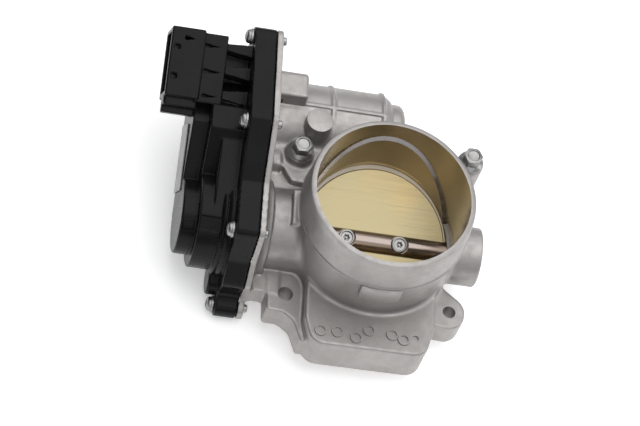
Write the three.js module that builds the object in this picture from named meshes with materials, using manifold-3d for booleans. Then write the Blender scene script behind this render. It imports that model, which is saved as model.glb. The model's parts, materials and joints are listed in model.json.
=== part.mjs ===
// Electronic throttle body: 70 mm bore, drive motor beside the bore, plastic gear cover with connector.
// Millimetres. +Z runs up the bore to the air inlet, +X runs along the throttle shaft away from the
// gear cover, +Y points from the bore to the motor. The origin is the bore axis on the manifold face.
import * as THREE from 'three';
import { mergeVertices } from 'three/addons/utils/BufferGeometryUtils.js';
import Module from 'manifold-3d';

const wasm = await Module();
wasm.setup();

// ---- driving dimensions ----
const GAP = 0.3;                 // clearance between pieces that touch
const RUNNING_GAP = 0.08;        // radial clearance of a shaft in its bearing
const BORE_R = 35;
const INLET_HEIGHT = 66;         // manifold face to inlet lip
const COUNTERBORE_R = 36.3;
const LIP_R = 37.5;
const TUBE_R = 38.3;
const INLET_BAND_R = 39.8;       // widest point of the inlet band
const INLET_BAND_BOTTOM = 46.5;
const LEDGE_RISE = 9.1;          // the tilted ledge is the plane z = LEDGE_RISE + LEDGE_SLOPE * y
const LEDGE_SLOPE = 1.292;
const LEDGE_LOW = 25;
const FRONT_PAD = { r: 41.3, halfWidth: 9.5, low: 37 };

const SHAFT_Z = 19.2;
const SHAFT_R = 5;
const REST_TILT = 18;            // plate angle at the limp-home stop, degrees
const PLATE_HALF_LENGTH = 35.4;
const PLATE_HALF_WIDTH = 34.7;
const PLATE_THICKNESS = 1.6;
const PLATE_SCREW_X = 12.65;
const PLATE_SCREW_HEAD_R = 4;
const PLATE_SCREW_R = 1.9;

const MOTOR = { y: 56, z: 20.8 };
const MOTOR_CAN_R = 18;
const MOTOR_CASE_R = 21.5;
const MOTOR_SHAFT_R = 1.5;
const MOTOR_CAP = { r: 17.6, shoulder: 4.2, end: 11 };

const JOINT_X = -58.5;           // face that the gear cover is screwed to
const FLANGE_PLATE = 3;
const RIM_X = -69;               // outer face of the cover rim
const WHEEL_STEP_X = -79;        // outer face of the step over the large gear wheel
const MID_X = -85;               // outer face of the middle step
const DOME_X = -92.5;            // outer face of the outer step
const COVER_WALL = 2.5;
const NOTCH_DEPTH = 1;
const RIM_WALL = 3;

const EAR_HEIGHT = 14;
const BLOCK_HEIGHT = 21;
const BOSS_END_X = 50.7;
const BOSS_R = 14;
const NECK_R = 18.8;
const COLLAR_R = 22;             // collar between the neck and the gear case flange
const COLLAR_X = -50.5;
const PLATEAU_TOP = 33;

const COVER_SCREW_R = 2;
const COVER_BOSS_R = 4.6;

const GEAR_MODULE = 1;
const SECTOR_TEETH = 50;
const SMALL_WHEEL_TEETH = 14;
const LARGE_WHEEL_TEETH = 42;
const PINION_TEETH = 11;

const BORE_SIDES = 48;

// ---- materials ----
function material(color, roughness, metalness) {
  return new THREE.MeshStandardMaterial({ color, roughness, metalness });
}
const castAluminium = material(0xa9a6a3, 0.55, 0.8);
const plateBrass = material(0xc9b98a, 0.35, 1);
const shaftSteel = material(0x8f8881, 0.28, 1);
const zincSteel = material(0xb9b7b2, 0.4, 1);
const blackPlastic = material(0x232325, 0.45, 0);
const gearPlastic = material(0xd8d2c0, 0.5, 0);
const blackRubber = material(0x18181a, 0.8, 0);
const springSteel = material(0x6d6a66, 0.35, 1);
const terminalTin = material(0xc7c2b6, 0.3, 1);
const boardGreen = material(0x2f5a3c, 0.5, 0);
const magnetGrey = material(0x3a3a3d, 0.45, 0.6);
const labelGrey = material(0xb4b4b2, 0.6, 0);

// ---- solids ----
// Makes a solid from a closed geometry, turning it right side out if its faces point inwards.
function solid(geometry) {
  const plain = geometry.clone();
  plain.deleteAttribute('normal');
  plain.deleteAttribute('uv');
  const merged = mergeVertices(plain, 1e-4);
  const positions = merged.attributes.position.array;
  const corner = (i) => new THREE.Vector3().fromArray(positions, 3 * i);
  const triangles = [];
  let volume = 0;
  for (let i = 0; i < merged.index.count; i += 3) {
    const [a, b, c] = [0, 1, 2].map((k) => merged.index.getX(i + k));
    if (a === b || b === c || c === a) continue;
    triangles.push([a, b, c]);
    volume += corner(a).dot(corner(b).cross(corner(c)));
  }
  const outward = volume > 0 ? triangles : triangles.map(([a, b, c]) => [a, c, b]);
  const mesh = new wasm.Mesh({
    numProp: 3,
    vertProperties: new Float32Array(positions),
    triVerts: new Uint32Array(outward.flat()),
  });
  return new wasm.Manifold(mesh);
}

function joined(first, ...others) {
  return others.reduce((sum, other) => sum.add(other), first);
}

function cut(base, ...tools) {
  return tools.reduce((rest, tool) => rest.subtract(tool), base);
}

function geometryOf(shape) {
  const mesh = shape.getMesh();
  const geometry = new THREE.BufferGeometry();
  geometry.setAttribute('position', new THREE.BufferAttribute(new Float32Array(mesh.vertProperties), 3));
  geometry.setIndex(new THREE.BufferAttribute(new Uint32Array(mesh.triVerts), 1));
  geometry.computeVertexNormals();
  return geometry;
}

const throttleBody = new THREE.Group();

function addPiece(name, shape, pieceMaterial, parent = throttleBody) {
  const piece = new THREE.Mesh(geometryOf(shape), pieceMaterial);
  piece.name = name;
  parent.add(piece);
  return piece;
}

function box(low, high) {
  const size = high.map((value, i) => value - low[i]);
  const geometry = new THREE.BoxGeometry(...size);
  geometry.translate(...low.map((value, i) => value + size[i] / 2));
  return solid(geometry);
}

// A round bar along Z, and one along X.
function barZ(x, y, radius, z0, z1, sides = 20) {
  const geometry = new THREE.CylinderGeometry(radius, radius, z1 - z0, sides);
  geometry.rotateX(Math.PI / 2);
  geometry.translate(x, y, (z0 + z1) / 2);
  return solid(geometry);
}

function barX(y, z, radius, x0, x1, sides = 20) {
  const geometry = new THREE.CylinderGeometry(radius, radius, x1 - x0, sides);
  geometry.rotateZ(Math.PI / 2);
  geometry.translate((x0 + x1) / 2, y, z);
  return solid(geometry);
}

// Turned shapes: the profile is a closed list of [radius, height] or [radius, x] points.
function turnedZ(profile, sides = BORE_SIDES) {
  const geometry = new THREE.LatheGeometry(profile.map(([r, h]) => new THREE.Vector2(r, h)), sides);
  geometry.rotateX(Math.PI / 2);
  return solid(geometry);
}

function turnedX(y, z, profile, sides = 28) {
  const geometry = new THREE.LatheGeometry(profile.map(([r, x]) => new THREE.Vector2(r, x)), sides);
  geometry.rotateZ(-Math.PI / 2);
  geometry.translate(0, y, z);
  return solid(geometry);
}

function onCircle(a, b, radius, angle) {
  return new THREE.Vector2(a + radius * Math.cos(angle), b + radius * Math.sin(angle));
}

// Flat outlines: corners are [a, b, radius], where the radius rounds the corner.
function outline(corners, arcSteps = 3) {
  const points = [];
  corners.forEach(([a, b, radius = 0], i) => {
    const here = new THREE.Vector2(a, b);
    if (radius === 0) {
      points.push(here);
      return;
    }
    const before = corners[(i + corners.length - 1) % corners.length];
    const after = corners[(i + 1) % corners.length];
    const toBefore = new THREE.Vector2(before[0], before[1]).sub(here).normalize();
    const toAfter = new THREE.Vector2(after[0], after[1]).sub(here).normalize();
    const half = Math.acos(toBefore.dot(toAfter)) / 2;
    const reach = radius / Math.tan(half);
    const start = here.clone().addScaledVector(toBefore, reach);
    const end = here.clone().addScaledVector(toAfter, reach);
    const middle = toBefore.clone().add(toAfter).normalize();
    const centre = here.clone().addScaledVector(middle, radius / Math.sin(half));
    const startAngle = Math.atan2(start.y - centre.y, start.x - centre.x);
    let turn = Math.atan2(end.y - centre.y, end.x - centre.x) - startAngle;
    turn -= 2 * Math.PI * Math.round(turn / (2 * Math.PI));
    for (let step = 0; step <= arcSteps; step += 1) {
      const angle = startAngle + (turn * step) / arcSteps;
      points.push(onCircle(centre.x, centre.y, radius, angle));
    }
  });
  return points;
}

// Moves every side of a counter-clockwise outline inwards.
function inset(corners, distance) {
  return corners.map(([a, b, radius = 0], i) => {
    const before = corners[(i + corners.length - 1) % corners.length];
    const after = corners[(i + 1) % corners.length];
    const sideIn = new THREE.Vector2(a - before[0], b - before[1]).normalize();
    const sideOut = new THREE.Vector2(after[0] - a, after[1] - b).normalize();
    const normalIn = new THREE.Vector2(-sideIn.y, sideIn.x);
    const normalOut = new THREE.Vector2(-sideOut.y, sideOut.x);
    const mitre = distance / (1 + normalIn.dot(normalOut));
    const convex = sideIn.cross(sideOut) > 0;
    const newRadius = Math.max(0, radius + (convex ? -distance : distance));
    const shift = normalIn.add(normalOut).multiplyScalar(mitre);
    return [a + shift.x, b + shift.y, radius > 0 ? newRadius : 0];
  });
}

// The outline of a belt pulled round circles given as [a, b, radius].
function beltOutline(circles, steps = 24) {
  const cloud = [];
  for (const [a, b, radius] of circles) {
    for (let i = 0; i < steps; i += 1) {
      cloud.push(onCircle(a, b, radius, (2 * Math.PI * i) / steps));
    }
  }
  cloud.sort((p, q) => p.x - q.x || p.y - q.y);
  const chain = (list) => {
    const kept = [];
    for (const p of list) {
      while (kept.length > 1) {
        const last = kept[kept.length - 1];
        const previous = kept[kept.length - 2];
        if (last.clone().sub(previous).cross(p.clone().sub(last)) > 1e-6) break;
        kept.pop();
      }
      kept.push(p);
    }
    return kept.slice(0, -1);
  };
  return [...chain(cloud), ...chain([...cloud].reverse())];
}

function extrude(points, depth, turn) {
  const geometry = new THREE.ExtrudeGeometry(new THREE.Shape(points), { depth, bevelEnabled: false });
  geometry.applyMatrix4(turn);
  return solid(geometry);
}

// A prism standing along Z from an (x, y) outline, or lying along X from a (y, z) outline.
function prismZ(points, z0, z1) {
  return extrude(points, z1 - z0, new THREE.Matrix4().makeTranslation(0, 0, z0));
}

const yzPlane = new THREE.Matrix4().makeBasis(
  new THREE.Vector3(0, 1, 0),
  new THREE.Vector3(0, 0, 1),
  new THREE.Vector3(1, 0, 0),
);

function prismX(points, x0, x1) {
  return extrude(points, x1 - x0, yzPlane.clone().setPosition(x0, 0, 0));
}

// ---- gear case outline, shared by the housing flange and the cover rim, as (y, z) corners ----
const caseCorners = [
  [-37, -8, 5],
  [12, -8, 6],
  [78, -6.5, 12],
  [78, 71, 5],
  [28, 70, 5],
  [2.5, 53, 5],
  [-22.5, 50, 4],
  [-26, 29, 6],
  [-32.5, 17, 4],
  [-29.5, 4, 4],
  [-37, 0.5, 4],
];
const coverScrews = [
  [73, 66.3],
  [-18, 43.8],
  [-31.5, -3.2],
  [72.3, -0.7],
  [24, -3.4],
  [28.5, 64.2],
];

// ---- throttle housing ----
function inletTube() {
  return turnedZ([
    [0, 0],
    [TUBE_R, 0],
    [TUBE_R, INLET_BAND_BOTTOM - 0.4],
    [INLET_BAND_R, INLET_BAND_BOTTOM],
    [INLET_BAND_R - 0.5, INLET_HEIGHT - 6],
    [INLET_BAND_R - 1.1, INLET_HEIGHT - 1.2],
    [LIP_R, INLET_HEIGHT],
    [0, INLET_HEIGHT],
  ]);
}

function boreSpace() {
  const straight = barZ(0, 0, BORE_R, -2, INLET_HEIGHT + 2, BORE_SIDES);
  const ledgeTilt = new THREE.Matrix4().makeRotationX(Math.atan(LEDGE_SLOPE));
  ledgeTilt.setPosition(0, 0, LEDGE_RISE);
  const aboveLedge = new THREE.BoxGeometry(200, 200, 100);
  aboveLedge.translate(0, 0, 50);
  aboveLedge.applyMatrix4(ledgeTilt);
  const counterbore = barZ(0, 0, COUNTERBORE_R, LEDGE_LOW, INLET_HEIGHT + 2, BORE_SIDES);
  return straight.add(counterbore.intersect(solid(aboveLedge)));
}

const leftEar = [
  [-48, -12, 0],
  [-47.4, -40, 2],
  [-40, -40, 4],
  [-34.5, -44, 5],
  [-30.6, -54.5, 1.5],
  [-20, -50, 0],
  [-20, -12, 0],
];
const rightEar = [
  [20, -16, 0],
  [34, -14, 2],
  [47.3, -24, 8],
  [46, -37.5, 8],
  [31, -36.5, 2],
  [20, -40, 0],
];
const block = [
  [-30, -20, 0],
  [-30.3, -45, 3],
  [-27, -58, 8],
  [27, -57.5, 8],
  [31, -42, 5],
  [31, -20, 0],
];
const boltPlateau = [
  [-52, 46, 2],
  [-52, 27.4, 2],
  [-46.4, 26.4, 2],
  [-41.9, 19.3, 2],
  [-25, 17, 0],
  [-25, 46, 0],
];
const earHoles = [
  { x: -38.7, y: -30.6, r: 3.6 },
  { x: 39.3, y: -28.3, r: 3.1 },
];
const flangeBolts = [
  { name: 'flange_bolt_left', x: -38.9, y: 33.4, seat: 37.4 },
  { name: 'flange_bolt_right', x: 41.1, y: 36.6, seat: 43.4 },
];
const BOLT_SHANK_R = 3;
const BOLT_LENGTH = 18;
const BOLT_BOSS_R = 6.4;
const BOLT_FLANGE_R = 6;
const BOLT_ACROSS_FLATS = 8;
const BOLT_HEAD_HEIGHT = 6.6;
const roundBoss = { x: -31.9, y: 46.2, r: 6.4, low: 30, top: 46 };
const blockDimple = { x: 21.9, y: -48.7, r: 1.6, depth: 0.8 };
const SEAL_BORE_R = 8 + GAP;     // bearings and seals sit in this bore
const SEAL_BORE_X = 36.4;
const plugBore = { r: 9.2, x: 47 };
const SPRING_SPACE_R = 15;
const SPRING_SPACE_X = -46;
const MOTOR_NOSE_R = 6.5;
const MOTOR_SCREW_R = 1.7;
const gearPin = { r: 2, x0: -80, x1: -50 };

// The motor case: a round case with a small end cap and a square lug on the flange side.
function motorCase() {
  const round = turnedX(MOTOR.y, MOTOR.z, [
    [0, JOINT_X],
    [MOTOR_CASE_R, JOINT_X],
    [MOTOR_CASE_R, 0],
    [MOTOR_CASE_R - 2.5, 4],
    [MOTOR_CAP.r, MOTOR_CAP.shoulder],
    [MOTOR_CAP.r, MOTOR_CAP.end - 2.5],
    [MOTOR_CAP.r - 2.6, MOTOR_CAP.end],
    [0, MOTOR_CAP.end],
  ], 32);
  const lugEdge = outline([[54.8, 30, 0], [69.5, 30, 0], [69.5, 50, 4], [54.8, 50, 1.5]]);
  const lug = prismX(lugEdge, JOINT_X, -38.6);
  const ribTop = MOTOR.z + MOTOR_CASE_R + 0.9;
  const topRib = box([JOINT_X, MOTOR.y - 0.8, MOTOR.z + 15], [1, MOTOR.y + 0.8, ribTop]);
  const girdleAt = (x) => barX(MOTOR.y, MOTOR.z, MOTOR_CASE_R + 0.8, x - 0.8, x + 0.8, 32);
  const screwBoss = barX(motorScrews[1].y, motorScrews[1].z, 4, JOINT_X, -48);
  return joined(round, lug, topRib, girdleAt(-25), girdleAt(-0.5), screwBoss);
}

function throttleHousing(gearCentre) {
  const neck = barX(0, SHAFT_Z, NECK_R, JOINT_X, 0, 32);
  const rightBoss = barX(0, SHAFT_Z, BOSS_R, 0, BOSS_END_X, 28);
  const flangePlate = prismX(outline(caseCorners), JOINT_X, JOINT_X + FLANGE_PLATE);
  const bolts = flangeBolts.map(({ x, y, seat }) => barZ(x, y, BOLT_BOSS_R, 0, seat - GAP));
  const { low, top } = roundBoss;
  const boss = turnedZ([
    [0, low],
    [roundBoss.r, low],
    [roundBoss.r, top - 0.6],
    [roundBoss.r - 0.6, top],
    [0, top],
  ], 32);
  const sidePad = box([-41.8, -7.5, 24], [-30, 10.5, 40]);
  const frontPad = barZ(0, 0, FRONT_PAD.r, FRONT_PAD.low, INLET_BAND_BOTTOM, BORE_SIDES).intersect(
    box([-FRONT_PAD.halfWidth, -60, FRONT_PAD.low - 1], [FRONT_PAD.halfWidth, -20, INLET_BAND_BOTTOM + 1]),
  );
  const bridge = box([JOINT_X, -31, 3], [-46, -12, EAR_HEIGHT]);
  const collar = barX(0, SHAFT_Z, COLLAR_R, JOINT_X, COLLAR_X, 32).intersect(
    box([JOINT_X - 1, -COLLAR_R, 0], [COLLAR_X + 1, COLLAR_R, SHAFT_Z + COLLAR_R]),
  );
  // Upright walls from the left ear up to the widest line of the neck and the collar, so that
  // nothing overhangs the ear's seat.
  const seatWalls = [
    box([JOINT_X, -NECK_R - 0.1, 8], [-30, -12, SHAFT_Z]),
    box([JOINT_X, -COLLAR_R - 0.1, 8], [COLLAR_X, -12, SHAFT_Z]),
  ];
  const pinBoss = barX(gearCentre.y, gearCentre.z, 5.5, JOINT_X, -47);
  const webs = [
    box([-45, 20, 0], [-20, 44, 18]),
    box([20, 22, 0], [38, 42, 30]),
    box([-56, -6, 0], [-30, 6, 8]),
    box([JOINT_X, 14, 8], [-34, 29, PLATEAU_TOP - 4]),
  ];
  const casting = joined(
    inletTube(),
    neck,
    collar,
    rightBoss,
    flangePlate,
    motorCase(),
    prismZ(outline(leftEar), 0, EAR_HEIGHT),
    prismZ(outline(rightEar), 0, EAR_HEIGHT),
    prismZ(outline(block), 0, BLOCK_HEIGHT),
    prismZ(outline(boltPlateau), 8, PLATEAU_TOP),
    ...bolts,
    boss.translate([roundBoss.x, roundBoss.y, 0]),
    sidePad,
    frontPad,
    bridge,
    ...seatWalls,
    pinBoss,
    ...webs,
  );
  const motorSpace = turnedX(MOTOR.y, MOTOR.z, [
    [0, JOINT_X - 1],
    [MOTOR_CAN_R + GAP, JOINT_X - 1],
    [MOTOR_CAN_R + GAP, 0.5],
    [MOTOR_NOSE_R, 0.5],
    [MOTOR_NOSE_R, 8],
    [0, 8],
  ]);
  const shaftSpace = turnedX(0, SHAFT_Z, [
    [0, JOINT_X - 1],
    [SPRING_SPACE_R, JOINT_X - 1],
    [SPRING_SPACE_R, SPRING_SPACE_X],
    [SEAL_BORE_R, SPRING_SPACE_X],
    [SEAL_BORE_R, -SEAL_BORE_X],
    [SHAFT_R + GAP, -SEAL_BORE_X],
    [SHAFT_R + GAP, SEAL_BORE_X],
    [SEAL_BORE_R, SEAL_BORE_X],
    [SEAL_BORE_R, plugBore.x],
    [plugBore.r, plugBore.x],
    [plugBore.r, BOSS_END_X + 1],
    [0, BOSS_END_X + 1],
  ]);
  const earHoleCuts = earHoles.map(({ x, y, r }) => barZ(x, y, r, -1, EAR_HEIGHT + 1));
  const boltHoles = flangeBolts.map(({ x, y, seat }) => (
    barZ(x, y, BOLT_SHANK_R + GAP, seat - BOLT_LENGTH - 1, seat + 1, 24)
  ));
  const coverScrewHoles = coverScrews.map(([y, z]) => (
    barX(y, z, COVER_SCREW_R + GAP, JOINT_X - 1, JOINT_X + FLANGE_PLATE + 1, 16)
  ));
  const motorScrewHoles = motorScrews.map(({ y, z }) => (
    barX(y, z, MOTOR_SCREW_R + GAP, JOINT_X - 1, -50, 16)
  ));
  const pinHole = barX(gearCentre.y, gearCentre.z, gearPin.r + GAP, JOINT_X - 1, gearPin.x1 + GAP, 24);
  const dimpleFloor = BLOCK_HEIGHT - blockDimple.depth;
  const dimple = barZ(blockDimple.x, blockDimple.y, blockDimple.r, dimpleFloor, BLOCK_HEIGHT + 1, 16);
  return cut(
    casting,
    boreSpace(),
    shaftSpace,
    motorSpace,
    ...earHoleCuts,
    ...boltHoles,
    ...coverScrewHoles,
    ...motorScrewHoles,
    pinHole,
    dimple,
  );
}

// ---- gear train ----
const sectorR = (GEAR_MODULE * SECTOR_TEETH) / 2;
const smallWheelR = (GEAR_MODULE * SMALL_WHEEL_TEETH) / 2;
const largeWheelR = (GEAR_MODULE * LARGE_WHEEL_TEETH) / 2;
const pinionR = (GEAR_MODULE * PINION_TEETH) / 2;

// The intermediate axle stands where both meshes close: a triangle on the shaft and motor axes.
function intermediateCentre() {
  const toShaft = sectorR + smallWheelR;
  const toMotor = largeWheelR + pinionR;
  const dy = MOTOR.y;
  const dz = MOTOR.z - SHAFT_Z;
  const between = Math.hypot(dy, dz);
  const along = (toShaft ** 2 - toMotor ** 2 + between ** 2) / (2 * between);
  const beside = Math.sqrt(toShaft ** 2 - along ** 2);
  return {
    y: (along * dy - beside * dz) / between,
    z: SHAFT_Z + (along * dz + beside * dy) / between,
  };
}
const gearCentre = intermediateCentre();
const shaftToGear = Math.atan2(gearCentre.z - SHAFT_Z, gearCentre.y);
const gearToMotor = Math.atan2(MOTOR.z - gearCentre.z, MOTOR.y - gearCentre.y);

// Straight-sided teeth about the origin; the first tooth points along the start angle.
function toothedOutline(teeth, startAngle, keepTooth = () => true, rootR = 0) {
  const pitchR = (GEAR_MODULE * teeth) / 2;
  const tip = pitchR + 0.75 * GEAR_MODULE;
  const root = pitchR - 1.15 * GEAR_MODULE;
  const step = (2 * Math.PI) / teeth;
  const points = [];
  for (let i = 0; i < teeth; i += 1) {
    const angle = startAngle + i * step;
    if (!keepTooth(angle)) {
      points.push([rootR, angle]);
      continue;
    }
    const baseHalf = (0.95 * GEAR_MODULE) / root;
    const tipHalf = (0.3 * GEAR_MODULE) / tip;
    points.push([root, angle - baseHalf], [tip, angle - tipHalf]);
    points.push([tip, angle + tipHalf], [root, angle + baseHalf]);
  }
  return points.map(([r, angle]) => onCircle(0, 0, r, angle));
}

function moved(points, y, z) {
  return points.map((p) => new THREE.Vector2(p.x + y, p.y + z));
}

// ---- moving throttle: everything here turns about the shaft, in a frame level with the plate ----
const throttleGroup = new THREE.Group();
throttleGroup.position.set(0, 0, SHAFT_Z);
throttleGroup.rotation.x = THREE.MathUtils.degToRad(REST_TILT);
throttleBody.add(throttleGroup);

function throttlePlate() {
  const rim = [];
  for (let i = 0; i < BORE_SIDES; i += 1) {
    const unit = onCircle(0, 0, 1, (2 * Math.PI * i) / BORE_SIDES);
    rim.push(new THREE.Vector2(PLATE_HALF_WIDTH * unit.x, PLATE_HALF_LENGTH * unit.y));
  }
  const disc = prismZ(rim, -PLATE_THICKNESS / 2, PLATE_THICKNESS / 2);
  const holes = [-PLATE_SCREW_X, PLATE_SCREW_X].map((x) => barZ(x, 0, PLATE_SCREW_R + GAP, -3, 3, 20));
  return cut(disc, ...holes);
}

const HEAD_SEAT = 3.1;
const SHAFT_LEFT_X = -73;
const SHAFT_RIGHT_X = 46.2;
const SHAFT_END_R = 4;
const SHAFT_SHOULDER_X = -59.5;
const PLATE_SCREW_END = -4.6;    // the screw's tip, below the plate
const CLEAR = 8;                 // reach of the cuts made through the shaft

function throttleShaft() {
  const bar = turnedX(0, 0, [
    [0, SHAFT_LEFT_X],
    [SHAFT_END_R - 0.3, SHAFT_LEFT_X],
    [SHAFT_END_R, SHAFT_LEFT_X + 0.3],
    [SHAFT_END_R, SHAFT_SHOULDER_X],
    [SHAFT_R, SHAFT_SHOULDER_X],
    [SHAFT_R, SHAFT_RIGHT_X - 0.4],
    [SHAFT_R - 0.4, SHAFT_RIGHT_X],
    [0, SHAFT_RIGHT_X],
  ], 20);
  const slotHalf = PLATE_THICKNESS / 2 + GAP;
  const slotEnd = PLATE_HALF_WIDTH + GAP;
  const plateSlot = box([-slotEnd, -CLEAR, -slotHalf], [slotEnd, CLEAR, slotHalf]);
  const screwCuts = [-PLATE_SCREW_X, PLATE_SCREW_X].flatMap((x) => [
    barZ(x, 0, PLATE_SCREW_R + GAP, -CLEAR, CLEAR, 20),
    barZ(x, 0, PLATE_SCREW_HEAD_R + GAP, HEAD_SEAT, CLEAR, 20),
    barZ(x, 0, PLATE_SCREW_HEAD_R, -CLEAR, PLATE_SCREW_END + 0.4, 20),
  ]);
  return cut(bar, plateSlot, ...screwCuts);
}

function plateScrew(x) {
  const head = turnedZ([
    [0, PLATE_SCREW_END],
    [PLATE_SCREW_R, PLATE_SCREW_END],
    [PLATE_SCREW_R, HEAD_SEAT + GAP],
    [PLATE_SCREW_HEAD_R, HEAD_SEAT + GAP],
    [PLATE_SCREW_HEAD_R, 4.5],
    [3.5, 5],
    [2.7, 5],
    [2.5, 4.5],
    [0, 4.5],
  ], 20);
  const slots = [
    box([-1.8, -0.45, 3.7], [1.8, 0.45, 6]),
    box([-0.45, -1.8, 3.7], [0.45, 1.8, 6]),
  ];
  return cut(head, ...slots).translate([x, 0, 0]);
}

const HUB_R = 10;
const gearWindow = { at: 17, r: 3.6, angles: [-52, -12] };
const nut = { acrossFlats: 12, thickness: 4 };
const magnet = { r: 6, length: 5 };
const SECTOR_X0 = -66;
const SECTOR_X1 = -60;

function throttleGear() {
  const tilt = THREE.MathUtils.degToRad(REST_TILT);
  const meshAngle = shaftToGear - tilt;
  const swing = { back: THREE.MathUtils.degToRad(78), ahead: THREE.MathUtils.degToRad(12) };
  const inSector = (angle) => {
    const offset = Math.atan2(Math.sin(angle - meshAngle), Math.cos(angle - meshAngle));
    return offset > -swing.back && offset < swing.ahead;
  };
  const wheel = prismX(toothedOutline(SECTOR_TEETH, meshAngle, inSector, HUB_R + 1), SECTOR_X0, SECTOR_X1);
  const hub = barX(0, 0, HUB_R, SECTOR_X0 - 2, SECTOR_X1 + 0.4, 28);
  const windows = gearWindow.angles.map((offset) => {
    const centre = onCircle(0, 0, gearWindow.at, meshAngle + THREE.MathUtils.degToRad(offset));
    return barX(centre.x, centre.y, gearWindow.r, SECTOR_X0 - 1, SECTOR_X1 + 1, 20);
  });
  return cut(wheel.add(hub), barX(0, 0, SHAFT_END_R + GAP, -80, -50, 32), ...windows);
}

function hexOutline(acrossFlats) {
  const radius = acrossFlats / Math.sqrt(3);
  return [0, 1, 2, 3, 4, 5].map((i) => onCircle(0, 0, radius, (Math.PI * i) / 3));
}

function gearNut() {
  const face = SECTOR_X0 - 2 - GAP;
  const blank = prismX(hexOutline(nut.acrossFlats), face - nut.thickness, face);
  return cut(blank, barX(0, 0, SHAFT_END_R + GAP, -80, -50, 32));
}

addPiece('throttle_shaft', throttleShaft(), shaftSteel, throttleGroup);
addPiece('throttle_plate', throttlePlate(), plateBrass, throttleGroup);
addPiece('plate_screw_1', plateScrew(-PLATE_SCREW_X), zincSteel, throttleGroup);
addPiece('plate_screw_2', plateScrew(PLATE_SCREW_X), zincSteel, throttleGroup);
addPiece('throttle_gear', throttleGear(), gearPlastic, throttleGroup);
addPiece('gear_nut', gearNut(), zincSteel, throttleGroup);
const magnetFace = SHAFT_LEFT_X - GAP;
const sensorMagnet = barX(0, 0, magnet.r, magnetFace - magnet.length, magnetFace, 32);
addPiece('sensor_magnet', sensorMagnet, magnetGrey, throttleGroup);

// ---- shaft supports ----
function ring(outerR, innerR, x0, x1, sides = 24) {
  return cut(barX(0, SHAFT_Z, outerR, x0, x1, sides), barX(0, SHAFT_Z, innerR, x0 - 1, x1 + 1, sides));
}

const RING_R = SEAL_BORE_R - GAP;
const SEAL_GAP = 0.15;
const bearing = { x0: 39.6, x1: 45.5 };
const seal = { x0: 36.8, x1: 39.3 };
const PLUG_R = plugBore.r - GAP;
const plugProfile = [[0, 47.6], [PLUG_R, 47.6], [PLUG_R, 49.6], [7, 49.6], [6, 48.9], [0, 48.9]];
const bearingHoleR = SHAFT_R + RUNNING_GAP;
const sealHoleR = SHAFT_R + SEAL_GAP;
addPiece('shaft_bearing_left', ring(RING_R, bearingHoleR, -bearing.x1, -bearing.x0), zincSteel);
addPiece('shaft_bearing_right', ring(RING_R, bearingHoleR, bearing.x0, bearing.x1), zincSteel);
addPiece('shaft_seal_left', ring(RING_R, sealHoleR, -seal.x1, -seal.x0), blackRubber);
addPiece('shaft_seal_right', ring(RING_R, sealHoleR, seal.x0, seal.x1), blackRubber);
addPiece('shaft_end_plug', turnedX(0, SHAFT_Z, plugProfile, 24), zincSteel);

const SPRING_WIRE_R = 0.8;
const SPRING_R = 12.4;
const SPRING_TURNS = 4.5;
const SPRING_LENGTH = 9.6;

class CoilCurve extends THREE.Curve {
  getPoint(t, target = new THREE.Vector3()) {
    const around = onCircle(0, SHAFT_Z, SPRING_R, 2 * Math.PI * SPRING_TURNS * t);
    return target.set(SPRING_LENGTH * t - 57, around.x, around.y);
  }
}

function returnSpring() {
  const wire = [];
  for (let i = 0; i < 6; i += 1) wire.push(onCircle(0, 0, SPRING_WIRE_R, (Math.PI * i) / 3));
  const sweep = { steps: 50, extrudePath: new CoilCurve() };
  return solid(new THREE.ExtrudeGeometry(new THREE.Shape(wire), sweep));
}
addPiece('return_spring', returnSpring(), springSteel);

// ---- motor and intermediate gear ----
const motorScrews = [
  { name: 'motor_screw_1', y: MOTOR.y, z: MOTOR.z + 23 },
  { name: 'motor_screw_2', y: MOTOR.y - 15.5, z: MOTOR.z - 17 },
];
const MOTOR_PLATE_X0 = JOINT_X - GAP - 1.5;
const MOTOR_PLATE_X1 = JOINT_X - GAP;
const motorShaft = { x0: -76, x1: -42 };

function driveMotor() {
  const can = turnedX(MOTOR.y, MOTOR.z, [
    [0, MOTOR_PLATE_X0 - 2],
    [5, MOTOR_PLATE_X0 - 2],
    [5, MOTOR_PLATE_X0 + 0.5],
    [MOTOR_CAN_R, MOTOR_PLATE_X0 + 0.5],
    [MOTOR_CAN_R, -1.5],
    [MOTOR_CAN_R - 1.5, 0],
    [6, 0],
    [6, 7],
    [0, 7],
  ], 32);
  const ears = motorScrews.map(({ y, z }) => [y, z, 4.2]);
  const plateEdge = beltOutline([[MOTOR.y, MOTOR.z, MOTOR_CAN_R - 1], ...ears]);
  const plate = prismX(plateEdge, MOTOR_PLATE_X0, MOTOR_PLATE_X1);
  const shaftHole = barX(MOTOR.y, MOTOR.z, MOTOR_SHAFT_R + RUNNING_GAP, -70, motorShaft.x1 + GAP);
  const screwHoles = motorScrews.map(({ y, z }) => barX(y, z, MOTOR_SCREW_R + GAP, -70, -50, 16));
  return cut(can.add(plate), shaftHole, ...screwHoles);
}

function motorScrew({ y, z }) {
  const head = MOTOR_PLATE_X0 - GAP;
  return turnedX(y, z, [
    [0, head - 2],
    [2.6, head - 2],
    [3.2, head - 1.4],
    [3.2, head],
    [MOTOR_SCREW_R, head],
    [MOTOR_SCREW_R, -51],
    [0, -51],
  ], 20);
}

const LARGE_WHEEL_X0 = -74;
const LARGE_WHEEL_X1 = -69.5;
const SMALL_WHEEL_X1 = -60.9;
const pinion = { x0: -75, x1: -68 };

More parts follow.
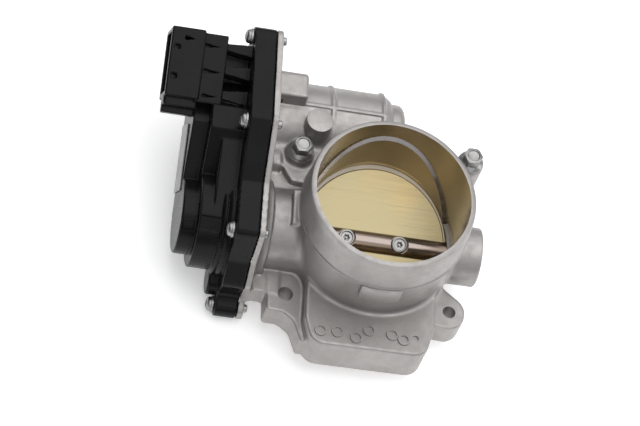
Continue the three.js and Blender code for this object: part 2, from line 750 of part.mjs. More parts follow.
function intermediateGear() {
  const toSector = shaftToGear + Math.PI;
  const smallStart = toSector + Math.PI / SMALL_WHEEL_TEETH;
  const smallTeeth = moved(toothedOutline(SMALL_WHEEL_TEETH, smallStart), gearCentre.y, gearCentre.z);
  const largeTeeth = moved(toothedOutline(LARGE_WHEEL_TEETH, gearToMotor), gearCentre.y, gearCentre.z);
  const small = prismX(smallTeeth, LARGE_WHEEL_X1 - 0.5, SMALL_WHEEL_X1);
  const large = prismX(largeTeeth, LARGE_WHEEL_X0, LARGE_WHEEL_X1);
  const pinWay = barX(gearCentre.y, gearCentre.z, gearPin.r + RUNNING_GAP, -90, -50, 24);
  const relief = cut(
    barX(gearCentre.y, gearCentre.z, largeWheelR - 4, LARGE_WHEEL_X0 - 1, LARGE_WHEEL_X0 + 1.3, 32),
    barX(gearCentre.y, gearCentre.z, 6, LARGE_WHEEL_X0 - 2, LARGE_WHEEL_X0 + 2, 24),
  );
  return cut(joined(small, large), relief, pinWay);
}

function motorPinion() {
  const start = gearToMotor + Math.PI + Math.PI / PINION_TEETH;
  const teeth = moved(toothedOutline(PINION_TEETH, start), MOTOR.y, MOTOR.z);
  const blank = prismX(teeth, pinion.x0, pinion.x1);
  return cut(blank, barX(MOTOR.y, MOTOR.z, MOTOR_SHAFT_R + GAP, -90, -50));
}

addPiece('drive_motor', driveMotor(), zincSteel);
const motorShaftBar = barX(MOTOR.y, MOTOR.z, MOTOR_SHAFT_R, motorShaft.x0, motorShaft.x1);
addPiece('motor_shaft', motorShaftBar, shaftSteel);
for (const screw of motorScrews) addPiece(screw.name, motorScrew(screw), zincSteel);
addPiece('intermediate_gear', intermediateGear(), gearPlastic);
const pinBar = barX(gearCentre.y, gearCentre.z, gearPin.r, gearPin.x0, gearPin.x1, 24);
addPiece('intermediate_gear_pin', pinBar, shaftSteel);
addPiece('motor_pinion', motorPinion(), shaftSteel);
addPiece('throttle_housing', throttleHousing(gearCentre), castAluminium);

// ---- gear cover ----
// Three steps stand on the rim: one over the gear wheels, then a middle and an outer one.
const wheelStep = [
  [0, SHAFT_Z, 23],
  [gearCentre.y, gearCentre.z, 25.5],
  [44, 36, 19],
  [MOTOR.y, MOTOR.z, 12],
];
const middleStep = [
  [gearCentre.y, gearCentre.z, 20.4],
  [44, 36, 19],
  [MOTOR.y, MOTOR.z, 12],
];
const middleHollow = [
  [gearCentre.y, gearCentre.z, 17.9],
  [44, 36, 16.5],
];
const MIDDLE_DOME_R = 23;
const OUTER_DOME_R = 17.6;
const middleRidge = [
  [8.2, 33.1],
  [30, 30],
  [46, 50],
  [38.5, 58],
  [27.2, 57],
];
const outerRidge = [
  [7.2, 3.1],
  [57, 26.2, 14],
  [57, 51, 12],
  [33, 51, 2],
  [17, 34.9, 1.5],
  [6, 24],
];
const beadProfile = [[0, -74.5], [25, -74.5], [26, -73.5], [26, RIM_X + 1], [0, RIM_X + 1]];
const shrunk = (circles, distance) => circles.map(([a, b, r]) => [a, b, r - distance]);
const ridgeX = (corners, x0, x1) => prismX(outline(corners), x0, x1);
const domeX = (radius, x0, x1) => barX(0, SHAFT_Z, radius, x0, x1, 40);

// The connector is turned about X so that its long side follows the sloping edge of the case.
const CONNECTOR_OPEN_X = -107.6;
const SHROUD_END_X = -91.8;
const STEP_END_X = -81;
const CONNECTOR_TILT = THREE.MathUtils.degToRad(23.6);
const CONNECTOR_CORNER = { y: 69.8, z: 70.7 };
const SHROUD_WIDTH = 32.5;
const SHROUD_DEPTH = 19;
const SOCKET_FLOOR_X = -93.5;
const SOCKET_WALL = 2.2;
const terminalSpan = { x0: -104, x1: -89 };
const board = { x0: -87.5, x1: -86.2 };

// Turns connector coordinates, across its width and down from its top face, into (y, z).
function connectorPoint(across, down) {
  const c = Math.cos(CONNECTOR_TILT);
  const s = Math.sin(CONNECTOR_TILT);
  return [CONNECTOR_CORNER.y - across * c + down * s, CONNECTOR_CORNER.z - across * s - down * c];
}

function connectorBar(low, high, x0, x1, radius = 0) {
  const [a0, d0] = low;
  const [a1, d1] = high;
  const places = [[a0, d0], [a1, d0], [a1, d1], [a0, d1]];
  const corners = places.map(([a, d]) => [...connectorPoint(a, d), radius]);
  return prismX(outline(corners), x0, x1);
}

function connectorShell() {
  const width = SHROUD_WIDTH;
  const depth = SHROUD_DEPTH;
  const shroud = connectorBar([0, 0], [width, depth], CONNECTOR_OPEN_X, SHROUD_END_X, 1.5);
  const sideLedge = connectorBar([width - 2, 7], [width + 7, 11], CONNECTOR_OPEN_X, SHROUD_END_X, 1);
  const cheek = connectorBar([width - 2, 2.5], [width + 4, 10], CONNECTOR_OPEN_X, SHROUD_END_X, 2.5);
  const step = connectorBar([1, 1], [width + 1, depth - 1], SHROUD_END_X, STEP_END_X);
  const neck = connectorBar([3.6, 7], [width + 1, depth - 2], STEP_END_X, RIM_X + 1);
  const gussets = [3.6, 13, 22.8].map((across) => (
    connectorBar([across, 2], [across + 4.2, 9], STEP_END_X, RIM_X + 1)
  ));
  return joined(shroud, sideLedge, cheek, step, neck, ...gussets);
}

const terminals = [];
for (const down of [6.2, 12.8]) {
  for (const across of [8.2, 16.2, 24.2]) terminals.push({ across, down });
}

function terminalBar({ across, down }, margin, x0, x1) {
  const half = { across: 1.1 + margin, down: 0.4 + margin };
  return connectorBar(
    [across - half.across, down - half.down],
    [across + half.across, down + half.down],
    x0,
    x1,
  );
}

// Shallow notches in the domes: radius, first and last angle in degrees, and the span along X.
const notches = [
  { radius: MIDDLE_DOME_R, from: 117, to: 133.5, x0: MID_X + 0.5, x1: -74.1 },
  { radius: OUTER_DOME_R, from: 126, to: 141, x0: DOME_X + 0.9, x1: -86.1 },
];

function notchCut({ radius, from, to, x0, x1 }) {
  const steps = [0, 1, 2, 3].map((i) => THREE.MathUtils.degToRad(from + ((to - from) * i) / 3));
  const floor = steps.map((angle) => onCircle(0, SHAFT_Z, radius - NOTCH_DEPTH, angle));
  const above = steps.map((angle) => onCircle(0, SHAFT_Z, radius + 4, angle)).reverse();
  return prismX([...floor, ...above], x0, x1);
}

// A closed loop that follows the rim of the case and passes inside each screw boss.
function gasketLoop(margin, width, bossR, x0, x1) {
  const inside = prismX(outline(inset(caseCorners, margin)), x0, x1);
  const core = prismX(outline(inset(caseCorners, margin + width)), x0 - 1, x1 + 1);
  const collars = coverScrews.map(([y, z]) => barX(y, z, bossR + width, x0, x1));
  const bosses = coverScrews.map(([y, z]) => barX(y, z, bossR, x0 - 1, x1 + 1));
  return cut(joined(cut(inside, core), ...collars).intersect(inside), ...bosses);
}

function gearCover() {
  const rimFace = JOINT_X - GAP;
  const bosses = coverScrews.map(([y, z]) => barX(y, z, COVER_BOSS_R, RIM_X - 0.4, rimFace));
  const shell = joined(
    prismX(outline(caseCorners), RIM_X, rimFace),
    prismX(beltOutline(wheelStep), WHEEL_STEP_X, RIM_X),
    prismX(beltOutline(middleStep), MID_X, WHEEL_STEP_X),
    ridgeX(middleRidge, MID_X, RIM_X),
    domeX(MIDDLE_DOME_R, MID_X, RIM_X),
    turnedX(0, SHAFT_Z, beadProfile),
    ridgeX(outerRidge, DOME_X, MID_X),
    domeX(OUTER_DOME_R, DOME_X, MID_X),
    barX(-20, 1, 8, -74, RIM_X, 28),
    connectorShell(),
    ...bosses,
  );
  const rimCavity = prismX(outline(inset(caseCorners, RIM_WALL)), RIM_X + COVER_WALL, rimFace + 1);
  const cavityBosses = coverScrews.map(([y, z]) => barX(y, z, COVER_BOSS_R, RIM_X, rimFace + 2));
  const cavity = joined(
    cut(rimCavity, ...cavityBosses),
    prismX(beltOutline(shrunk(wheelStep, COVER_WALL)), WHEEL_STEP_X + COVER_WALL, RIM_X + COVER_WALL + 1),
    prismX(beltOutline(middleHollow), MID_X + COVER_WALL, WHEEL_STEP_X + COVER_WALL + 1),
    domeX(MIDDLE_DOME_R - COVER_WALL, MID_X + COVER_WALL, WHEEL_STEP_X + COVER_WALL + 1),
    ridgeX(inset(outerRidge, COVER_WALL), DOME_X + COVER_WALL, MID_X + COVER_WALL + 1),
    domeX(OUTER_DOME_R - COVER_WALL, DOME_X + COVER_WALL, MID_X + COVER_WALL + 1),
  );
  const pinSocket = cut(
    barX(gearCentre.y, gearCentre.z, 4.5, DOME_X + 1.5, -77, 24),
    barX(gearCentre.y, gearCentre.z, gearPin.r + GAP, gearPin.x0 - GAP, -60, 24),
  );
  const socket = connectorBar(
    [SOCKET_WALL, SOCKET_WALL],
    [SHROUD_WIDTH - SOCKET_WALL, SHROUD_DEPTH - SOCKET_WALL],
    CONNECTOR_OPEN_X - 1,
    SOCKET_FLOOR_X,
  );
  const hollow = cut(
    shell,
    cavity,
    gasketLoop(0.9, 1.5, COVER_BOSS_R, rimFace - 1.4, rimFace + 1),
    socket,
    ...notches.map(notchCut),
    ...coverScrews.map(([y, z]) => barX(y, z, COVER_SCREW_R + GAP, -80, -50, 16)),
    ...terminals.map((terminal) => terminalBar(terminal, GAP, SOCKET_FLOOR_X - 1, terminalSpan.x1 + 1)),
  );
  return hollow.add(pinSocket);
}

function coverScrew([y, z]) {
  const washer = RIM_X - 0.4 - GAP;
  const body = turnedX(y, z, [
    [0, washer - 3.2],
    [2.4, washer - 3.2],
    [3.3, washer - 2.2],
    [3.3, washer - 1],
    [3.9, washer - 1],
    [3.9, washer],
    [COVER_SCREW_R, washer],
    [COVER_SCREW_R, JOINT_X + FLANGE_PLATE + 1.6],
    [1.5, JOINT_X + FLANGE_PLATE + 2.1],
    [0, JOINT_X + FLANGE_PLATE + 2.1],
  ], 14);
  const recess = [
    box([washer - 5, y - 1.5, z - 0.4], [washer - 2, y + 1.5, z + 0.4]),
    box([washer - 5, y - 0.4, z - 1.5], [washer - 2, y + 0.4, z + 1.5]),
  ];
  return cut(body, ...recess);
}

addPiece('gear_cover', gearCover(), blackPlastic);
const coverGasket = gasketLoop(1.2, 0.9, COVER_BOSS_R + GAP, JOINT_X - GAP - 1.1, JOINT_X - GAP);
addPiece('cover_gasket', coverGasket, blackRubber);
coverScrews.forEach((place, i) => addPiece(`cover_screw_${i + 1}`, coverScrew(place), zincSteel));
terminals.forEach((terminal, i) => {
  const blade = terminalBar(terminal, 0, terminalSpan.x0, terminalSpan.x1);
  addPiece(`connector_terminal_${i + 1}`, blade, terminalTin);
});
const boardEdge = beltOutline([[0, SHAFT_Z, 13.5], [14, SHAFT_Z, 6]]);
addPiece('sensor_board', prismX(boardEdge, board.x0, board.x1), boardGreen);
const labelEdge = outline([[17.5, 9.5, 1], [46, 23.7, 1], [37.5, 40, 1], [9.5, 26, 1]]);
addPiece('identification_label', prismX(labelEdge, DOME_X - GAP - 0.4, DOME_X - GAP), labelGrey);

// ---- hexagon flange bolts in the casting ----
function flangeBolt({ x, y, seat }) {
  const flange = turnedZ([
    [0, seat - BOLT_LENGTH],
    [BOLT_SHANK_R, seat - BOLT_LENGTH],
    [BOLT_SHANK_R, seat],
    [BOLT_FLANGE_R, seat],
    [BOLT_FLANGE_R, seat + 0.9],
    [4.4, seat + 1.9],
    [0, seat + 1.9],
  ], 20);
  const top = seat + BOLT_HEAD_HEIGHT;
  const hexagon = prismZ(hexOutline(BOLT_ACROSS_FLATS), seat + 1, top);
  const crown = turnedZ([
    [0, seat],
    [BOLT_FLANGE_R, seat],
    [BOLT_FLANGE_R, top - 1.2],
    [3.9, top],
    [3.1, top],
    [2.6, top - 0.4],
    [0, top - 0.4],
  ], 24);
  return flange.add(hexagon.intersect(crown)).translate([x, y, 0]);
}
for (const bolt of flangeBolts) addPiece(bolt.name, flangeBolt(bolt), zincSteel);

export default throttleBody;
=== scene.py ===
"""Electronic throttle body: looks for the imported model.

Shapes are worked out in millimetres in the part's own frame and scaled to metres when a piece is finished.
+Z runs up the bore, +X along the throttle shaft away from the gear cover, +Y from the bore to the motor.
"""

import json
import math

import bmesh
import bpy
import numpy as np
import openvdb
from mathutils import Matrix, Vector


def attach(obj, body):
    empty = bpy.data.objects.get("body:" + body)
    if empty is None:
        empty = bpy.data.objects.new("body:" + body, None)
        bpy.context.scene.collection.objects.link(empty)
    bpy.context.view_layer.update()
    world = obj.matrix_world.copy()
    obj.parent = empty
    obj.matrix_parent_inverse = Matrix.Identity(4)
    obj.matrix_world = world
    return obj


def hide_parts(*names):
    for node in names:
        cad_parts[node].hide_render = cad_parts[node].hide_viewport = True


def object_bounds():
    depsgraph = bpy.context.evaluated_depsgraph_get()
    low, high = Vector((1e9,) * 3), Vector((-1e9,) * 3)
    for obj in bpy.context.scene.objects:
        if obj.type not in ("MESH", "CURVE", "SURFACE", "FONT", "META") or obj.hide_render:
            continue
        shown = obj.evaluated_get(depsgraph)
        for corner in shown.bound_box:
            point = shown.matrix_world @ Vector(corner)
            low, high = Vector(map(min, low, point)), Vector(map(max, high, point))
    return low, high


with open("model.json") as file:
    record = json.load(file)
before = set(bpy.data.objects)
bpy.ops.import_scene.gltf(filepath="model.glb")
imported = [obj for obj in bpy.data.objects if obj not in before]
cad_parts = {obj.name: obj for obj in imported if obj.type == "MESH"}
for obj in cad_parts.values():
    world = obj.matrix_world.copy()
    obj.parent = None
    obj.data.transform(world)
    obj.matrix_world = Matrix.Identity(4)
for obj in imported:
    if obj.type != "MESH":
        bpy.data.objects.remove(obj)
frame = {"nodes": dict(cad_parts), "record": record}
cad_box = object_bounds()
NODES = frame["nodes"]
MM = 0.001
SHAFT_Z = 19.2
MOTOR = (56.0, 20.8)
JOINT_X = -58.5
COVER_BACK_X = JOINT_X - 0.3
RIM_X = -69.0
WHEEL_STEP_X = -79.0
MID_X = -85.0
DOME_X = -92.5
TILT = math.radians(18)  # the plate's angle at rest
GEAR_CENTRE = (30.631, 28.460)
BORE_R, COUNTERBORE_R = 35.0, 36.3
INLET_HEIGHT = 66.0
TUBE_R = 38.3
BAND_Z = 46.5  # lower edge of the inlet band
LEDGE_RISE, LEDGE_SLOPE = 9.1, 1.292
NECK_R, COLLAR_R, COLLAR_X = 18.8, 22.0, -50.5
BOSS_R, BOSS_END_X = 14.0, 50.7
MOTOR_CASE_R = 21.5
EAR_TOP, BLOCK_TOP, PLATEAU_TOP = 14.0, 21.0, 33.0
PAD_R, PAD_HALF, PAD_LOW = 41.3, 9.5, 37.0
BOLT_BOSS_R, BOLT_SHANK_R = 6.4, 3.0
SCREW_R = 2.0
SCREW_HOLE_R = 2.3
COVER_BOSS_R = 4.6
PLATE_HALF_X, PLATE_HALF_Y = 34.7, 35.4
PLATE_SCREWS_X = (-12.65, 12.65)
ROUND_BOSS = (-31.9, 46.2)
MARKS = [(-22.8, -51.2), (-14.9, -50.8), (-6, -52.6), (-0.1, -48), (10.9, -48.6), (16.4, -50.4)]

CASE = [
    (-37, -8, 5), (12, -8, 6), (78, -6.5, 12), (78, 71, 5), (28, 70, 5), (2.5, 53, 5),
    (-22.5, 50, 4), (-26, 29, 6), (-32.5, 17, 4), (-29.5, 4, 4), (-37, 0.5, 4),
]
COVER_SCREWS = [(73, 66.3), (-18, 43.8), (-31.5, -3.2), (72.3, -0.7), (24, -3.4), (28.5, 64.2)]
MOTOR_SCREWS = [(56, 43.8), (40.5, 3.8)]
FLANGE_BOLTS = {"flange_bolt_left": (-38.9, 33.4, 37.4), "flange_bolt_right": (41.1, 36.6, 43.4)}
EAR_HOLES = [(-38.7, -30.6, 3.6), (39.3, -28.3, 3.1)]


# ---------------------------------------------------------------- outlines and distance fields
def outline(corners, steps=7):
    """Points of an outline whose corners (a, b, radius) are rounded."""
    points = []
    for i, (a, b, radius) in enumerate(corners):
        here = np.array((a, b), float)
        if radius == 0:
            points.append(here)
            continue
        before = np.array(corners[i - 1][:2], float) - here
        after = np.array(corners[(i + 1) % len(corners)][:2], float) - here
        before /= np.linalg.norm(before)
        after /= np.linalg.norm(after)
        half = math.acos(np.clip(before @ after, -1, 1)) / 2
        middle = (before + after) / np.linalg.norm(before + after)
        centre = here + middle * radius / math.sin(half)
        start = here + before * radius / math.tan(half) - centre
        end = here + after * radius / math.tan(half) - centre
        angle = math.atan2(start[1], start[0])
        turn = math.atan2(end[1], end[0]) - angle
        turn -= 2 * math.pi * round(turn / (2 * math.pi))
        for step in range(steps + 1):
            at = angle + turn * step / steps
            points.append(centre + radius * np.array((math.cos(at), math.sin(at))))
    return np.array(points)


def belt(circles, steps=72):
    """The outline of a belt pulled round circles given as (a, b, radius)."""
    angles = np.arange(steps) * 2 * math.pi / steps
    cloud = sorted({
        (round(a + r * math.cos(t), 5), round(b + r * math.sin(t), 5)) for a, b, r in circles for t in angles
    })

    def chain(points):
        kept = []
        for p in points:
            while len(kept) > 1:
                (ax, ay), (bx, by) = kept[-2], kept[-1]
                if (bx - ax) * (p[1] - by) - (by - ay) * (p[0] - bx) > 1e-7:
                    break
                kept.pop()
            kept.append(p)
        return kept[:-1]

    return np.array(chain(cloud) + chain(cloud[::-1]))


def shrunk(circles, distance):
    return [(a, b, r - distance) for a, b, r in circles]


def inset(points, distance):
    """A closed counter-clockwise outline moved inwards along its corner normals."""
    before = points - np.roll(points, 1, 0)
    after = np.roll(points, -1, 0) - points
    normals = []
    for edge in (before, after):
        edge = edge / np.linalg.norm(edge, axis=1)[:, None]
        normals.append(np.stack([-edge[:, 1], edge[:, 0]], 1))
    mitre = distance / (1 + (normals[0] * normals[1]).sum(1))
    return points + (normals[0] + normals[1]) * mitre[:, None]


def polygon_distance(points, u, v):
    """Signed distance to a closed polygon, negative inside, for broadcast arrays u and v."""
    nearest = np.full(np.broadcast_shapes(u.shape, v.shape), 1e9)
    inside = np.zeros(nearest.shape, bool)
    for (ax, ay), (bx, by) in zip(points, np.roll(points, -1, 0)):
        dx, dy = bx - ax, by - ay
        length = dx * dx + dy * dy
        if length < 1e-12:
            continue
        t = np.clip(((u - ax) * dx + (v - ay) * dy) / length, 0, 1)
        nearest = np.minimum(nearest, (u - ax - t * dx) ** 2 + (v - ay - t * dy) ** 2)
        if dy:
            inside ^= ((ay > v) != (by > v)) & (u < ax + (v - ay) * dx / dy)
    return np.where(inside, -np.sqrt(nearest), np.sqrt(nearest))


def slab(flat, along, rounding):
    """Distance to a prism with rounded edges, from the distances to its outline and past its end faces."""
    a, b = flat + rounding, along + rounding
    return np.hypot(np.maximum(a, 0), np.maximum(b, 0)) + np.minimum(np.maximum(a, b), 0) - rounding


class Prism:
    """A prism from an outline in the two other axes, between two places on axis 'x' or 'z'."""

    def __init__(self, axis, points, start, end, rounding=0.0):
        points = np.array(points, float)
        self.axis, self.points, self.rounding = axis, points, rounding
        self.middle, self.half = (start + end) / 2, (end - start) / 2
        low, high = points.min(0), points.max(0)
        self.low = [start, *low] if axis == "x" else [*low, start]
        self.high = [end, *high] if axis == "x" else [*high, end]

    def distance(self, x, y, z):
        if self.axis == "x":
            flat, along = polygon_distance(self.points, y[0, :, :], z[0, :, :])[None], x
        else:
            flat, along = polygon_distance(self.points, x[:, :, 0], y[:, :, 0])[:, :, None], z
        return slab(flat, np.abs(along - self.middle) - self.half, self.rounding)


class Turned:
    """A turned solid about axis 'x' or 'z', from (radius, place) points that start and end on the axis."""

    def __init__(self, axis, centre, profile):
        profile = np.array(profile, float)
        self.axis, self.centre = axis, centre
        self.polygon = np.concatenate([profile, profile[::-1] * (-1, 1)])
        radius, (start, end) = profile[:, 0].max(), (profile[:, 1].min(), profile[:, 1].max())
        around = [(c - radius, c + radius) for c in centre]
        spans = [(start, end), *around] if axis == "x" else [*around, (start, end)]
        self.low, self.high = zip(*spans)

    def distance(self, x, y, z):
        if self.axis == "x":
            plane = np.hypot(y[0, :, :] - self.centre[0], z[0, :, :] - self.centre[1])
            return layered(self.polygon, plane, x[:, 0, 0], 0)
        plane = np.hypot(x[:, :, 0] - self.centre[0], y[:, :, 0] - self.centre[1])
        return layered(self.polygon, plane, z[0, 0, :], 2)


def layered(polygon, plane, along, axis):
    """Distance to a (w, along) polygon, for a plane of w values at each place along the axis."""
    samples = np.arange(plane.min() - 0.3, plane.max() + 0.3, 0.2)
    table = polygon_distance(polygon, samples[:, None], along[None, :])
    return np.stack([np.interp(plane, samples, table[:, i]) for i in range(len(along))], axis)


def rod(axis, centre, radius, start, end, edge=0.0):
    """A round bar with chamfered ends."""
    profile = [
        (0, start), (radius - edge, start), (radius, start + edge),
        (radius, end - edge), (radius - edge, end), (0, end),
    ]
    return Turned(axis, centre, [p for i, p in enumerate(profile) if i == 0 or p != profile[i - 1]])


def block_x(low, high, start, end, rounding=0.0):
    """A box given by its (y, z) corners, between two X places."""
    (a, b), (c, d) = low, high
    return Prism("x", [(a, b), (c, b), (c, d), (a, d)], start, end, rounding)


class Field:
    """Distances on a regular grid, in millimetres: solids are added to it and cut out of it."""

    def __init__(self, low, high, step):
        self.low, self.step = np.array(low, float), step
        self.axes = [np.arange(a, b + step, step) for a, b in zip(low, high)]
        self.values = np.full([len(a) for a in self.axes], 6.0, np.float32)

    def _near(self, shape, margin):
        cuts = []
        for axis, low, high in zip(self.axes, shape.low, shape.high):
            first = max(0, int(np.searchsorted(axis, low - margin)) - 1)
            cuts.append(slice(first, int(np.searchsorted(axis, high + margin)) + 1))
        x, y, z = (axis[c] for axis, c in zip(self.axes, cuts))
        return tuple(cuts), shape.distance(x[:, None, None], y[None, :, None], z[None, None, :])

    def add(self, shape, fillet=0.0):
        cuts, new = self._near(shape, fillet + 3 * self.step)
        old = self.values[cuts]
        blend = np.maximum(fillet - np.abs(old - new), 0) if fillet else 0
        self.values[cuts] = np.minimum(old, new) - (blend * blend / (4 * fillet) if fillet else 0)

    def cut(self, shape, fillet=0.0):
        cuts, new = self._near(shape, fillet + 3 * self.step)
        old = self.values[cuts]
        blend = np.maximum(fillet - np.abs(old + new), 0) if fillet else 0
        self.values[cuts] = np.maximum(old, -new) + (blend * blend / (4 * fillet) if fillet else 0)

    def surface(self, name):
        grid = openvdb.FloatGrid(6.0)
        grid.copyFromArray(self.values)
        points, quads = grid.convertToQuads()
        points = np.asarray(points, float) * self.step + self.low
        mesh = bpy.data.meshes.new(name)
        mesh.from_pydata(points.tolist(), [], np.asarray(quads)[:, ::-1].tolist())
        if signed_volume(mesh) < 0:
            mesh.flip_normals()
        return link(name, mesh)


def signed_volume(mesh):
    built = bmesh.new()
    built.from_mesh(mesh)
    volume = built.calc_volume(signed=True)
    built.free()
    return volume


# ---------------------------------------------------------------- mesh helpers
def link(name, mesh):
    piece = bpy.data.objects.new(name, mesh)
    bpy.context.scene.collection.objects.link(piece)
    return piece


def turned(name, axis, centre, profile, sides=96):
    """A turned mesh about axis 'x' or 'z' from (radius, place) points that start and end on the axis."""
    built = bmesh.new()
    rings = []
    for radius, place in profile:
        ring = []
        for i in range(sides if radius > 0 else 1):
            angle = 2 * math.pi * i / sides
            a, b = centre[0] + radius * math.cos(angle), centre[1] + radius * math.sin(angle)
            ring.append(built.verts.new((place, a, b) if axis == "x" else (a, b, place)))
        rings.append(ring)
    for one, two in zip(rings, rings[1:]):
        for i in range(sides):
            j = (i + 1) % sides
            corners = [one[i % len(one)], one[j % len(one)], two[j % len(two)], two[i % len(two)]]
            unique = list(dict.fromkeys(corners))
            if len(unique) > 2:
                built.faces.new(unique)
    return from_bmesh(name, built)


def prism(name, axis, points, start, end):
    """An extruded mesh along 'x' or 'z' from an outline in the two other axes."""
    built = bmesh.new()
    place = (lambda p, h: (h, *p)) if axis == "x" else (lambda p, h: (*p, h))
    low = [built.verts.new(place(p, start)) for p in points]
    high = [built.verts.new(place(p, end)) for p in points]
    built.faces.new(low)
    built.faces.new(high)
    for i in range(len(points)):
        j = (i + 1) % len(points)
        built.faces.new((low[i], low[j], high[j], high[i]))
    return from_bmesh(name, built)


def from_bmesh(name, built):
    bmesh.ops.recalc_face_normals(built, faces=built.faces)
    mesh = bpy.data.meshes.new(name)
    built.to_mesh(mesh)
    built.free()
    if signed_volume(mesh) < 0:
        mesh.flip_normals()
    return link(name, mesh)


def merged(name, *pieces):
    """Several separate solids as one mesh."""
    built = bmesh.new()
    for piece in pieces:
        built.from_mesh(piece.data)
        discard(piece)
    mesh = bpy.data.meshes.new(name)
    built.to_mesh(mesh)
    built.free()
    return link(name, mesh)


def discard(piece):
    mesh = piece.data
    bpy.data.objects.remove(piece)
    bpy.data.meshes.remove(mesh)


def bake_modifiers(piece):
    """Replaces a piece's mesh with what its modifiers make of it."""
    graph = bpy.context.evaluated_depsgraph_get()
    made = bpy.data.meshes.new_from_object(piece.evaluated_get(graph))
    old = piece.data
    piece.modifiers.clear()
    piece.data = made
    bpy.data.meshes.remove(old)
    return piece


def boolean(piece, tool, operation="DIFFERENCE", solver="MANIFOLD"):
    change = piece.modifiers.new("join or cut", "BOOLEAN")
    change.operation = operation
    change.solver = solver
    change.object = tool
    bake_modifiers(piece)
    discard(tool)
    return piece


def bevelled(piece, width, segments=2, angle=35):
    change = piece.modifiers.new("edges", "BEVEL")
    change.width = width
    change.segments = segments
    change.limit_method = "ANGLE"
    change.angle_limit = math.radians(angle)
    change.harden_normals = False
    return bake_modifiers(piece)


def finish(piece, body, replaced, materials, angle=32):
    """Scales a piece to metres, shades it smooth up to an angle and puts it on its body."""
    piece.data.transform(Matrix.Scale(MM, 4))
    piece.data.materials.clear()
    for material in materials:
        piece.data.materials.append(material)
    piece.data.shade_smooth()
    piece.data.set_sharp_from_angle(angle=math.radians(angle))
    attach(piece, body)
    if replaced:
        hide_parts(*replaced)
    return piece


def tilted(piece):
    """Turns a piece made level with the plate about the shaft's axis, to the plate's rest angle."""
    piece.data.transform(Matrix.Translation((0, 0, SHAFT_Z)) @ Matrix.Rotation(TILT, 4, "X"))
    return piece


# ---------------------------------------------------------------- materials
class Shader:
    """A node material: the colour, roughness and bump come from noise in the object's own coordinates."""

    def __init__(self, name, metallic=0.0, **sockets):
        self.material = bpy.data.materials.new(name)
        self.material.use_nodes = True
        self.tree = self.material.node_tree
        self.shader = self.tree.nodes["Principled BSDF"]
        self.shader.inputs["Metallic"].default_value = metallic
        for socket, value in sockets.items():
            self.shader.inputs[socket.replace("_", " ")].default_value = value
        self.place = self.node("ShaderNodeTexCoord").outputs["Object"]
        self.height = None

    def node(self, kind, **values):
        made = self.tree.nodes.new(kind)
        for key, value in values.items():
            setattr(made, key, value)
        return made

    def join(self, source, target):
        self.tree.links.new(source, target)

    def stretched(self, scale):
        mapping = self.node("ShaderNodeMapping")
        mapping.inputs["Scale"].default_value = scale
        self.join(self.place, mapping.inputs["Vector"])
        return mapping.outputs["Vector"]

    def noise(self, scale, detail=2.0, stretch=None, roughness=0.5):
        made = self.node("ShaderNodeTexNoise")
        made.inputs["Scale"].default_value = scale
        made.inputs["Detail"].default_value = detail
        made.inputs["Roughness"].default_value = roughness
        self.join(self.stretched(stretch) if stretch else self.place, made.inputs["Vector"])
        return made.outputs["Fac"]

    def ramp(self, source, low, high, a, b):
        """Maps source from low..high to a..b."""
        made = self.node("ShaderNodeMapRange")
        for socket, value in zip(("From Min", "From Max", "To Min", "To Max"), (low, high, a, b)):
            made.inputs[socket].default_value = value
        self.join(source, made.inputs["Value"])
        return made.outputs["Result"]

    def blend(self, factor, one, two):
        made = self.node("ShaderNodeMix", data_type="RGBA")
        for socket, value in zip((made.inputs[6], made.inputs[7]), (one, two)):
            if isinstance(value, tuple):
                socket.default_value = (*value, 1)
            else:
                self.join(value, socket)
        self.join(factor, made.inputs[0])
        return made.outputs[2]

    def colour(self, source):
        self.join(source, self.shader.inputs["Base Color"])
        return self

    def rough(self, source, low, high, a=0.35, b=0.65):
        self.join(self.ramp(source, a, b, low, high), self.shader.inputs["Roughness"])
        return self

    def bump(self, source, depth_mm, strength=1.0):
        made = self.node("ShaderNodeBump")
        made.inputs["Distance"].default_value = depth_mm * MM
        made.inputs["Strength"].default_value = strength
        self.join(source, made.inputs["Height"])
        if self.height is not None:
            self.join(self.height, made.inputs["Normal"])
        self.height = made.outputs["Normal"]
        self.join(self.height, self.shader.inputs["Normal"])
        return self


def cast_metal():
    s = Shader("cast_aluminium", metallic=0.85)
    cloud = s.ramp(s.noise(55, 3), 0.35, 0.65, 0, 1)
    grain = s.noise(1500, 2)
    base = s.blend(cloud, (0.33, 0.316, 0.305), (0.385, 0.37, 0.357))
    s.colour(s.blend(s.ramp(grain, 0.3, 0.7, 0, 0.35), base, (0.45, 0.435, 0.42)))
    s.rough(s.noise(300, 3), 0.42, 0.56)
    s.bump(s.noise(110, 3), 0.12, 0.5)
    return s.bump(grain, 0.05, 0.6).material


def machined_metal():
    s = Shader("machined_aluminium", metallic=1.0)
    fine = s.noise(900, 2, stretch=(1, 1, 4))
    s.colour(s.blend(s.ramp(fine, 0.3, 0.7, 0, 1), (0.52, 0.49, 0.48), (0.62, 0.59, 0.58)))
    s.rough(s.noise(200, 2), 0.2, 0.32)
    return s.bump(fine, 0.02, 0.3).material


def bore_metal():
    s = Shader("polished_bore", metallic=1.0)
    rings = s.noise(40, 3, stretch=(1, 1, 40))
    cloud = s.noise(38, 2)
    # Painted reflection: the bore's gold tint stands in for the gold plate mirrored in the bore walls; the
    # cloud noise is random tone.
    s.colour(s.blend(s.ramp(cloud, 0.35, 0.65, 0, 1), (0.6, 0.53, 0.43), (0.76, 0.68, 0.56)))
    s.rough(rings, 0.16, 0.26)
    return s.bump(rings, 0.012, 0.3).material


